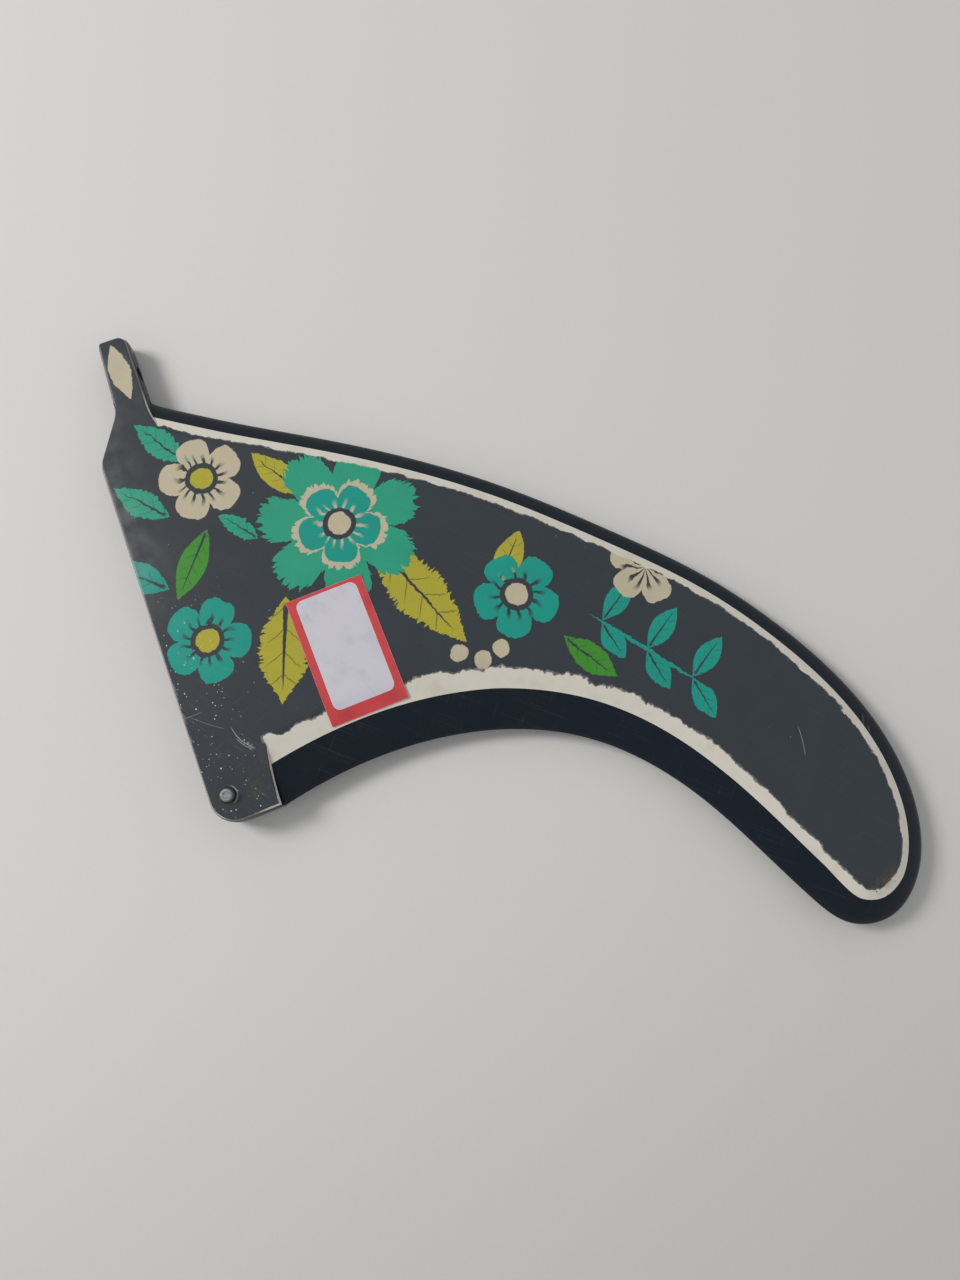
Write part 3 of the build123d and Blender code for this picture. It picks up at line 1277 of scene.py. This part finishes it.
@dataclass(frozen=True)
class BladeOutline:
    """Rim of the blade, from inside the tang round the tip to the board line."""

    marks: tuple[Spot, ...] = (
        (-79.2, 19.3), (-75.0, 21.5), (-71.4, 26.1), (-60.1, 43.2), (-44.3, 68.8),
        (-7.3, 119.2), (16.4, 143.6), (42.6, 167.5), (65.2, 182.5), (119.3, 199.0),
        (150.0, 187.9), (156.0, 177.0), (153.2, 165.0), (143.3, 157.8), (101.5, 136.8),
        (76.0, 113.8), (61.6, 81.5), (58.5, 48.7), (62.2, 20.6),
    )
    stations: int = 340
    samples_per_span: int = 200

    def walk(self) -> tuple[np.ndarray, np.ndarray, np.ndarray]:
        """Stations at even steps along the rim.

        Returns:
            Their places, their inward directions and their shares of the way round.
        """
        dense = self._through_marks()
        steps = np.linalg.norm(np.diff(dense, axis=0), axis=1)
        length = np.concatenate([[0.0], np.cumsum(steps)])
        shares = np.linspace(0.0, 1.0, self.stations)
        places, ways = (
            np.stack([np.interp(shares * length[-1], length, row) for row in values.T], axis=1)
            for values in (dense, np.gradient(dense, axis=0))
        )
        ways /= np.linalg.norm(ways, axis=1)[:, None]
        inward = np.stack([ways[:, 1], -ways[:, 0]], axis=1)
        return places, inward, shares

    def _through_marks(self) -> np.ndarray:
        """Smooth cubic curve through the marks.

        Returns:
            Closely spaced points along it.
        """
        marks = np.array(self.marks)
        gaps = np.linalg.norm(np.diff(marks, axis=0), axis=1)
        knots = np.concatenate([[0.0], np.cumsum(gaps)])
        count = len(knots)
        system, turns = np.zeros((count, count)), np.zeros((count, 2))
        slopes = np.diff(marks, axis=0) / gaps[:, None]
        for row in range(1, count - 1):
            behind, ahead = gaps[row - 1], gaps[row]
            system[row, row - 1 : row + 2] = behind, 2 * (behind + ahead), ahead
            turns[row] = 6 * (slopes[row] - slopes[row - 1])
        system[0, :3] = gaps[1], -(gaps[0] + gaps[1]), gaps[0]
        system[-1, -3:] = gaps[-1], -(gaps[-2] + gaps[-1]), gaps[-2]
        bends = np.linalg.solve(system, turns)
        at = np.linspace(0.0, knots[-1], (count - 1) * self.samples_per_span + 1)
        span = np.clip(np.searchsorted(knots, at, side="right") - 1, 0, count - 2)
        gap = gaps[span]
        before, after = (knots[span + 1] - at) / gap, (at - knots[span]) / gap
        curve = 0.0
        for share, end in ((before, span), (after, span + 1)):
            bend = (share**3 - share) * gap**2 / 6
            curve = curve + share[:, None] * marks[end] + bend[:, None] * bends[end]
        return curve


@dataclass(frozen=True)
class Foil:
    """How sanding draws the rim in, as widths of the bared bands round the outline."""

    plies: Plies = Plies()
    shares: tuple[float, ...] = (0.0, 0.25, 0.59, 0.63, 0.67, 0.75, 0.87, 1.0)
    black_band: tuple[float, ...] = (5.1, 5.0, 5.2, 7.3, 9.2, 9.9, 12.3, 12.4)
    white_band: tuple[float, ...] = (2.8, 2.4, 2.3, 3.3, 3.0, 4.2, 6.2, 5.7)
    cloth_band: tuple[float, ...] = (1.2, 1.2, 1.2, 1.6, 1.6, 1.8, 2.0, 2.0)
    fullness: float = 1.8
    core_steps: tuple[float, ...] = (0.0, 0.08, 0.17, 0.28, 0.42, 0.58, 0.79, 1.0)
    ply_steps: tuple[float, ...] = (0.25, 0.5, 0.75, 1.0)

    def rows(self, shares: np.ndarray) -> list[tuple[np.ndarray, np.ndarray]]:
        """Rows of the rim from its edge to the flat face.

        Args:
            shares: Shares of the way round, one for each station.

        Returns:
            For each row, how far it is drawn in and how high it is, at every station.
        """
        bands = (self.black_band, self.white_band, self.cloth_band)
        black, white, cloth = (np.interp(shares, self.shares, band) for band in bands)
        rows = []
        for step in self.core_steps:
            rows.append((black * step**self.fullness, np.full_like(shares, self.plies.core * step)))
        leaving_core = self.plies.core / (self.fullness * black)
        white_rise = self.plies.white - self.plies.core
        cloth_rise = self.plies.face - self.plies.white
        crossing = 2 / (white / white_rise + cloth / cloth_rise)
        for step in self.ply_steps:
            climb = self._eased(step, white_rise, leaving_core * white, crossing * white)
            rows.append((black + white * step, self.plies.core + climb))
        for step in self.ply_steps:
            climb = self._eased(step, cloth_rise, crossing * cloth, 0.0 * cloth)
            rows.append((black + white + cloth * step, self.plies.white + climb))
        return rows

    @staticmethod
    def _eased(
        step: float, rise: float, start_slope: np.ndarray, end_slope: np.ndarray
    ) -> np.ndarray:
        """Height along a smooth rise.

        Args:
            step: Share of the way across.
            rise: Whole rise.
            start_slope: Slope at the start, as rise over the whole way.
            end_slope: Slope at the end.

        Returns:
            The height above the start.
        """
        square, cube = step**2, step**3
        return (
            (3 * square - 2 * cube) * rise
            + (cube - 2 * square + step) * start_slope
            + (cube - square) * end_slope
        )


@dataclass
class Laminate:
    """Blade and base: black core, white plies and printed cloth on both faces."""

    plies: Plies = Plies()
    outline: BladeOutline = BladeOutline()
    foil: Foil = Foil()
    finish: LaminateFinish = LaminateFinish()
    root_sink: float = 5.0
    board_line: float = 20.6
    base_rear: float = 62.6
    rear_corner_radius: float = 8.5
    board_corner: Spot = (62.2, 20.6)
    wall_start: Spot = (42.8, 22.6)
    heel_start: Spot = (-73.5, 20.6)
    heel_end: Spot = (-65.7, 22.1)
    ramp_foot: Spot = (-59.0, 0.0)
    ramp_throat: Spot = (-74.4, 9.7)
    tang_chin: Spot = (-99.4, 11.0)
    tang_nose: Spot = (-99.4, 20.6)
    ramp_foot_radius: float = 7.0
    ramp_throat_radius: float = 10.0
    tang_chin_radius: float = 1.6
    tang_nose_radius: float = 3.0
    bevel_start: float = 2.4
    bevel_slope: float = 0.37
    edge_break: float = 0.22
    arc_steps: int = 7
    corner_segments: int = 9
    screw_hole_radius: float = 2.4
    screw_hole_x: float = -86.2
    drill_start: float = -6.0
    sink_depth: float = 0.45
    sink_length: float = 0.6
    sink_spread: float = 1.26
    pin_centre: Spot = PIN_CENTRE
    bore_radius: float = 2.02
    bore_length: float = 20.0
    body: bpy.types.Object | None = field(default=None, init=False)

    def shape(self) -> bpy.types.Object:
        """Models the whole panel in one piece, before it is sliced into plies.

        Returns:
            The panel, which stays as the pattern for what lies on it.
        """
        panel = self._blade()
        Bench.carve(panel, self._base(), "UNION")
        Bench.carve(panel, self._screw_cutter(), "DIFFERENCE")
        Bench.carve(panel, self._pin_cutter(), "DIFFERENCE")
        self.body = panel
        return panel

    def _blade(self) -> bpy.types.Object:
        """Models the foiled blade, row by row from its edge to its flat face.

        Returns:
            The blade, with its root to be sunk in the base.
        """
        places, inward, shares = self.outline.walk()
        loops = []
        for drawn_in, height in self.foil.rows(shares):
            rim = places + inward * drawn_in[:, None]
            closing = [*(rim[-1] - self.root_sink), height[-1]]
            loops.append(np.vstack([np.column_stack([rim, height]), closing]))
        blade = Bench.flat_face(loops[0])
        for loop in loops[1:]:
            bpy.ops.mesh.extrude_region_move()
            Bench.place_loop(blade, loop)
        Bench.mirror_down(blade)
        return blade

    @staticmethod
    def _tangent_arc(start: Spot, way: Spot, end: Spot, steps: int) -> list[Spot]:
        """Points along the arc that leaves a point in a given direction and meets another.

        Args:
            start: Where it starts.
            way: Unit direction there.
            end: Where it ends.
            steps: Number of steps.

        Returns:
            The points, with both ends.
        """
        chord = Vector(end) - Vector(start)
        way_out = Vector(way)
        side = Vector((-way_out.y, way_out.x))
        if chord.dot(side) < 0:
            side = -side
        radius = chord.length_squared / (2 * chord.dot(side))
        whole = 2 * math.atan2(chord.dot(side), chord.dot(way_out))
        points = []
        for step in range(steps + 1):
            angle = whole * step / steps
            ahead, aside = radius * math.sin(angle), radius * (1 - math.cos(angle))
            points.append(tuple(Vector(start) + way_out * ahead + side * aside))
        return points

    def _base(self) -> bpy.types.Object:
        """Models the base and its tang, with rounded corners and bevelled edges.

        Returns:
            The base.
        """
        heel = self._tangent_arc(self.heel_start, (1.0, 0.0), self.heel_end, self.arc_steps)
        wall = self._tangent_arc(self.board_corner, (-1.0, 0.0), self.wall_start, self.arc_steps)
        corners = {
            (self.base_rear, 0.0): self.rear_corner_radius,
            self.ramp_foot: self.ramp_foot_radius,
            self.ramp_throat: self.ramp_throat_radius,
            self.tang_chin: self.tang_chin_radius,
            self.tang_nose: self.tang_nose_radius,
        }
        outline = [*heel, *reversed(wall), *corners]
        base = Bench.flat_face([(x, y, 0.0) for x, y in outline])
        bpy.ops.mesh.select_mode(type="VERT")
        for corner, radius in corners.items():
            spot = outline.index(corner)
            before, after = Vector(outline[spot - 1]), Vector(outline[(spot + 1) % len(outline)])
            half_angle = (before - Vector(corner)).angle(after - Vector(corner)) / 2
            place = Vector((*corner, 0.0)) * MM
            Bench.pick(base, lambda vertex, at=place: (vertex.co - at).length < CLOSE, "verts")
            bpy.ops.mesh.bevel(
                offset=radius / math.tan(half_angle) * MM,
                offset_type="OFFSET",
                segments=self.corner_segments,
                affect="VERTICES",
            )
        Bench.shut()
        Bench.edit(base)
        bpy.ops.mesh.normals_make_consistent(inside=False)
        if base.data.polygons[0].normal.z < 0:
            bpy.ops.mesh.flip_normals()
        bpy.ops.mesh.extrude_region_move(
            TRANSFORM_OT_translate={"value": (0, 0, self.bevel_start * MM), "orient_type": "GLOBAL"}
        )
        rise = (self.plies.face - self.bevel_start) * MM
        bpy.ops.mesh.inset(thickness=rise * self.bevel_slope, depth=rise, use_even_offset=True)
        Bench.pick(base, self._on_top_edge, "edges")
        bpy.ops.mesh.bevel(offset=self.edge_break * MM, segments=2, affect="EDGES")
        Bench.mirror_down(base)
        return base

    def _on_top_edge(self, edge: bmesh.types.BMEdge) -> bool:
        """Whether an edge runs round the flat face of the base."""
        return all(abs(vertex.co.z - self.plies.face * MM) < CLOSE for vertex in edge.verts)

    def _screw_cutter(self) -> bpy.types.Object:
        """Models the drill for the screw hole, with a small countersink at the board line.

        Returns:
            The drill.
        """
        low, high = self.drill_start, self.board_line - self.sink_depth
        middle = (self.screw_hole_x, (low + high) / 2, 0.0)
        drill = Bench.rod(middle, self.screw_hole_radius, high - low, sides=48, tilt=90.0)
        Bench.edit(drill)
        Bench.pick(drill, lambda face: face.normal.y > 0.9)
        bpy.ops.mesh.extrude_region_move(
            TRANSFORM_OT_translate={"value": (0, self.sink_length * MM, 0), "orient_type": "GLOBAL"}
        )
        bpy.ops.transform.resize(value=(self.sink_spread, 1.0, self.sink_spread))
        Bench.shut()
        return drill

    def _pin_cutter(self) -> bpy.types.Object:
        """Models the drill for the cross pin."""
        return Bench.rod((*self.pin_centre, 0.0), self.bore_radius, self.bore_length)

    def _slice(self, name: str, low: float, high: float) -> bpy.types.Object:
        """Cuts one ply out of a copy of the panel.

        Args:
            name: Name of the piece.
            low: Height of its lower side.
            high: Height of its upper side.

        Returns:
            The ply, closed on both sides.
        """
        ply = self.body.copy()
        ply.data = self.body.data.copy()
        bpy.context.collection.objects.link(ply)
        for height, below in ((low, True), (high, False)):
            if abs(height) < self.plies.face:
                Bench.edit(ply)
                bpy.ops.mesh.bisect(
                    plane_co=(0, 0, height * MM),
                    plane_no=(0, 0, 1),
                    use_fill=True,
                    clear_inner=below,
                    clear_outer=not below,
                    threshold=MERGE,
                )
                Bench.shut()
        Bench.finish(ply, name, cut_heights=(low, high))
        return ply

    def build(self) -> None:
        """Slices the panel into its plies and dresses them."""
        core, white, face = self.plies.core, self.plies.white, self.plies.face
        colours = ("chartreuse", "leaf_green", "sea_green", "teal", "cream")
        black = self._slice("fin_black_core", -core, core)
        dress(black, self.finish.core(), "black_core", "core_laminate")
        clad = self.finish.clad()
        for side, word in ((1, "top"), (-1, "bottom")):
            low, high = sorted((side * core, side * white))
            band = self._slice(f"fin_white_band_{word}", low, high)
            dress(band, clad, "white_ply", f"white_ply_{word}")
            low, high = sorted((side * white, side * face))
            cloth = self._slice(f"fin_printed_cloth_{word}", low, high)
            prints = [f"print_{colour}_{word}" for colour in colours]
            dress(cloth, clad, "charcoal_cloth", f"cloth_ply_{word}", *prints)

    def clear_pattern(self) -> None:
        """Takes the unsliced panel away once nothing needs it."""
        bpy.data.objects.remove(self.body, do_unlink=True)
        self.body = None


@dataclass
class CrossPin:
    """Steel pin through the rear of the base, standing out of both faces."""

    centre: Spot = PIN_CENTRE
    radius: float = 2.0
    length: float = 14.0
    chamfer: float = 0.4
    turned_steps: tuple[Spot, ...] = ((0.5, 0.0), (0.25, -0.18), (0.4, 0.04))
    finish: SteelFinish = SteelFinish()

    def _at_end(self, edge: bmesh.types.BMEdge) -> bool:
        """Whether an edge runs round one of the pin's ends."""
        return all(abs(abs(vertex.co.z) - self.length / 2 * MM) < CLOSE for vertex in edge.verts)

    def build(self) -> None:
        """Models and dresses the pin, whose ends are turned in steps, each an inset and a rise."""
        pin = Bench.rod((*self.centre, 0.0), self.radius, self.length)
        Bench.edit(pin)
        Bench.pick(pin, self._at_end, "edges")
        bpy.ops.mesh.bevel(offset=self.chamfer * MM, segments=3, affect="EDGES")
        Bench.pick(pin, lambda face: abs(face.normal.z) > 0.99)
        for inset, rise in self.turned_steps:
            bpy.ops.mesh.inset(thickness=inset * MM, depth=rise * MM, use_individual=True)
        Bench.shut()
        Bench.finish(pin, "base_cross_pin")
        dress(pin, self.finish.material(), "pin_steel", "cross_pin")


@dataclass(frozen=True)
class LiftedCorner:
    """Corner of the label that has come away from the fin."""

    along: float
    across: float
    reach: float
    start: float
    curl: float

    def height(self, along: float, across: float) -> float:
        """How far the paper stands off the fin.

        Args:
            along: Place along the label from its middle, in millimetres.
            across: Place across it.

        Returns:
            The height, in millimetres.
        """
        share = (along * self.along + across * self.across) / self.reach
        return (max(0.0, share - self.start) * self.curl) ** 1.5


@dataclass
class PriceLabel:
    """Red paper label stuck on the upper face, with a bare window."""

    centre: Spot = LABEL_CENTRE
    size: Spot = LABEL_SIZE
    turn: float = LABEL_TURN
    corner: float = 0.6
    window: Spot = (36.1, 19.7)
    window_corner: float = 2.2
    window_shift: float = -1.5
    thickness: float = 0.16
    glue: float = 0.01
    laid_from: float = 8.0
    corner_steps: int = 6
    slice_step: float = 1.5
    cockle: float = 0.05
    cockle_wave: Spot = (0.62, 0.31)
    cockle_inside: float = 0.35
    lifted: tuple[LiftedCorner, ...] = (
        LiftedCorner(1.0, 1.6, 40.4, 0.78, 2.6),
        LiftedCorner(-1.0, 1.5, 39.2, 0.84, 1.8),
    )
    finish: PaperFinish = PaperFinish()

    def _rounded(self, size: Spot, corner: float, shift: float) -> list[Place]:
        """Outline of a rectangle with rounded corners, in the label's own axes.

        Args:
            size: Its length and width.
            corner: Radius of its corners.
            shift: How far its middle is along the label.

        Returns:
            The points, anticlockwise.
        """
        points = []
        for quarter in range(4):
            across, up = ((1, 1), (-1, 1), (-1, -1), (1, -1))[quarter]
            middle = (shift + across * (size[0] / 2 - corner), up * (size[1] / 2 - corner))
            for step in range(self.corner_steps + 1):
                angle = math.radians(90 * (quarter + step / self.corner_steps))
                out = Vector((math.cos(angle), math.sin(angle))) * corner
                points.append((*(Vector(middle) + out), self.laid_from))
        return points

    def _sheet(self, name: str, panel: bpy.types.Object, framed: bool) -> bpy.types.Object:
        """Models the window or the frame round it, laid on the fin.

        Args:
            name: Name of the piece.
            panel: The fin's panel, which it lies on.
            framed: True for the frame, False for the window.

        Returns:
            The sheet.
        """
        sheet = Bench.flat_face(self._rounded(self.window, self.window_corner, self.window_shift))
        if framed:
            Bench.pick(sheet, lambda edge: True, "edges")
            bpy.ops.mesh.extrude_edges_move()
            Bench.place_loop(sheet, self._rounded(self.size, self.corner, 0.0))
            Bench.pick(sheet, lambda face: len(face.verts) > 4)
            bpy.ops.mesh.delete(type="ONLY_FACE")
        for size, way in zip(self.size, ((1, 0, 0), (0, 1, 0))):
            cuts = int(size / self.slice_step)
            for cut in range(1, cuts):
                bpy.ops.mesh.select_all(action="SELECT")
                place = Vector(way) * ((cut / cuts - 0.5) * size * MM)
                bpy.ops.mesh.bisect(plane_co=place, plane_no=way, threshold=MERGE)
        Bench.shut()
        sheet.rotation_euler.z = math.radians(self.turn)
        sheet.location = Vector((*self.centre, 0.0)) * MM
        Bench.hold(sheet)
        bpy.ops.object.transform_apply(location=True, rotation=True, scale=True)
        Bench.apply(
            sheet,
            "SHRINKWRAP",
            target=panel,
            wrap_method="PROJECT",
            use_project_z=True,
            use_negative_direction=True,
            use_positive_direction=False,
            wrap_mode="ABOVE_SURFACE",
            offset=self.glue * MM,
        )
        self._lift(sheet)
        Bench.apply(sheet, "SOLIDIFY", thickness=self.thickness * MM, offset=1.0)
        Bench.finish(sheet, name, 40.0)
        return sheet

    def _lift(self, sheet: bpy.types.Object) -> None:
        """Lifts the label's corners and lets the paper cockle a little.

        Args:
            sheet: The frame or the window, lying on the fin.
        """
        turned_back = Matrix.Rotation(math.radians(-self.turn), 2)
        for vertex in sheet.data.vertices:
            along, across = turned_back @ (vertex.co.xy / MM - Vector(self.centre))
            edge = max(abs(along) / (self.size[0] / 2), abs(across) / (self.size[1] / 2))
            wave = math.sin(along * self.cockle_wave[0] + across * self.cockle_wave[1])
            inside = self.cockle_inside + (1 - self.cockle_inside) * edge**3
            rise = self.cockle * (1 + wave) * inside
            rise += sum(corner.height(along, across) for corner in self.lifted)
            vertex.co.z += rise * MM

    def build(self, panel: bpy.types.Object) -> None:
        """Models and dresses the label.

        Args:
            panel: The fin's panel, which it lies on.
        """
        frame_sheet = self._sheet("label_red_paper", panel, True)
        dress(frame_sheet, self.finish.inked(), "label_red", "price_label")
        window_sheet = self._sheet("label_bare_paper", panel, False)
        dress(window_sheet, self.finish.bare(), "label_white", "label_window")


@dataclass
class Studio:
    """Floor, lights and camera."""

    camera_place: Place = (89.73, 72.72, 304.95)
    camera_right: Place = (0.3536, 0.9354, 0.0)
    camera_up: Place = (-0.9190, 0.3474, 0.1867)
    lens: float = 28.125
    sensor: float = 36.0
    floor_half: float = 4000.0
    floor_height: float = -6.361
    floor_slope: Spot = (-0.014156, 0.014396)
    middle: Place = (35.0, 93.0, 0.0)
    room_light: float = 0.58
    overhead_light: float = 0.44
    overhead_start: float = 0.40
    overhead_end: float = 0.80
    lamp_place: Place = (-680.0, -930.0, 980.0)
    lamp_size: float = 480.0
    lamp_watts: float = 13.2
    lamp_colour: Colour = (1.0, 0.985, 0.955)
    room_colour: Colour = (0.96, 0.975, 1.0)

    def build(self) -> None:
        """Sets up everything round the fin."""
        self._camera()
        self._floor()
        self._room()
        self._window()
        bpy.context.scene.view_settings.view_transform = "Standard"

    def _camera(self) -> None:
        """Adds the camera at the photograph's place and angle."""
        right, up = Vector(self.camera_right).normalized(), Vector(self.camera_up).normalized()
        back = right.cross(up).normalized()
        up = back.cross(right)
        data = bpy.data.cameras.new("photo_camera")
        data.lens = self.lens
        data.sensor_width = self.sensor
        data.clip_start = 0.01
        camera = bpy.data.objects.new("photo_camera", data)
        bpy.context.collection.objects.link(camera)
        turn = Matrix((right, up, back)).transposed().to_4x4()
        camera.matrix_world = Matrix.Translation(Vector(self.camera_place) * MM) @ turn
        bpy.context.scene.camera = camera
        log.info("camera at %s", tuple(round(value, 4) for value in camera.location))

    def _floor(self) -> None:
        """Adds the table top, touching the pin's lower end, the tang and the blade, with painted
        shade that darkens it towards +X.
        """
        Bench.clear()
        bpy.ops.mesh.primitive_plane_add(size=2 * self.floor_half * MM, location=(0, 0, 0))
        floor = bpy.context.object
        floor.name = floor.data.name = "table_top"
        for vertex in floor.data.vertices:
            slope = vertex.co.x * self.floor_slope[0] + vertex.co.y * self.floor_slope[1]
            vertex.co.z = self.floor_height * MM + slope
        brush = Brush("pale_matt_table_painted_shade")
        # Painted shade: the table's colour darkens by up to 16 percent from x 60 to 300 mm,
        # standing for a shadow over that side.
        tone = brush.shade(
            brush.blend(Tone.FLOOR, Tone.FLOOR_CLOUD, brush.cloud(90.0, 2.0, 3.0)),
            0.985 + brush.cloud(1.4, 3.0, 5.0) * 0.03 - brush.x.rise(60.0, 300.0) * 0.16,
        )
        matt = {"Base Color": tone, "Roughness": 0.65, "Specular IOR Level": 0.25}
        floor.data.materials.append(brush.surface(matt))

    def _room(self) -> None:
        """Surrounds the fin with an even room, a little dimmer overhead."""
        world = bpy.data.worlds.new("pale_room")
        bpy.context.scene.world = world
        world.use_nodes = True
        room = NodeTree(world.node_tree)
        sky = room.node("ShaderNodeTexCoord")
        axes = room.node("ShaderNodeSeparateXYZ", {}, {"Vector": sky.outputs["Generated"]})
        fall = room.node(
            "ShaderNodeMapRange",
            {"interpolation_type": "SMOOTHSTEP"},
            {
                "Value": axes.outputs["Z"],
                "From Min": self.overhead_start,
                "From Max": self.overhead_end,
                "To Min": self.room_light,
                "To Max": self.overhead_light,
            },
        )
        glow = {"Color": self.room_colour, "Strength": fall.outputs["Result"]}
        backdrop = room.node("ShaderNodeBackground", {}, glow)
        room.node("ShaderNodeOutputWorld", {}, {"Surface": backdrop.outputs["Background"]})

    def _window(self) -> None:
        """Adds one large soft lamp that faces the fin from the left of the picture."""
        data = bpy.data.lights.new("window_light", "AREA")
        data.size = self.lamp_size * MM
        data.energy = self.lamp_watts
        data.color = self.lamp_colour
        lamp = bpy.data.objects.new("window_light", data)
        bpy.context.collection.objects.link(lamp)
        lamp.location = (Vector(self.middle) + Vector(self.lamp_place)) * MM
        lamp.rotation_mode = "QUATERNION"
        lamp.rotation_quaternion = (-Vector(self.lamp_place)).to_track_quat("-Z", "Y")


def main() -> None:
    """Builds the fin and its studio."""
    Studio().build()
    laminate = Laminate()
    panel = laminate.shape()
    log.info("panel shaped: %d faces", len(panel.data.polygons))
    PriceLabel().build(panel)
    laminate.build()
    laminate.clear_pattern()
    CrossPin().build()
    bpy.context.view_layer.update()


if __name__ == "__main__":
    logging.basicConfig(level=logging.INFO, format="%(name)s: %(message)s")
    main()
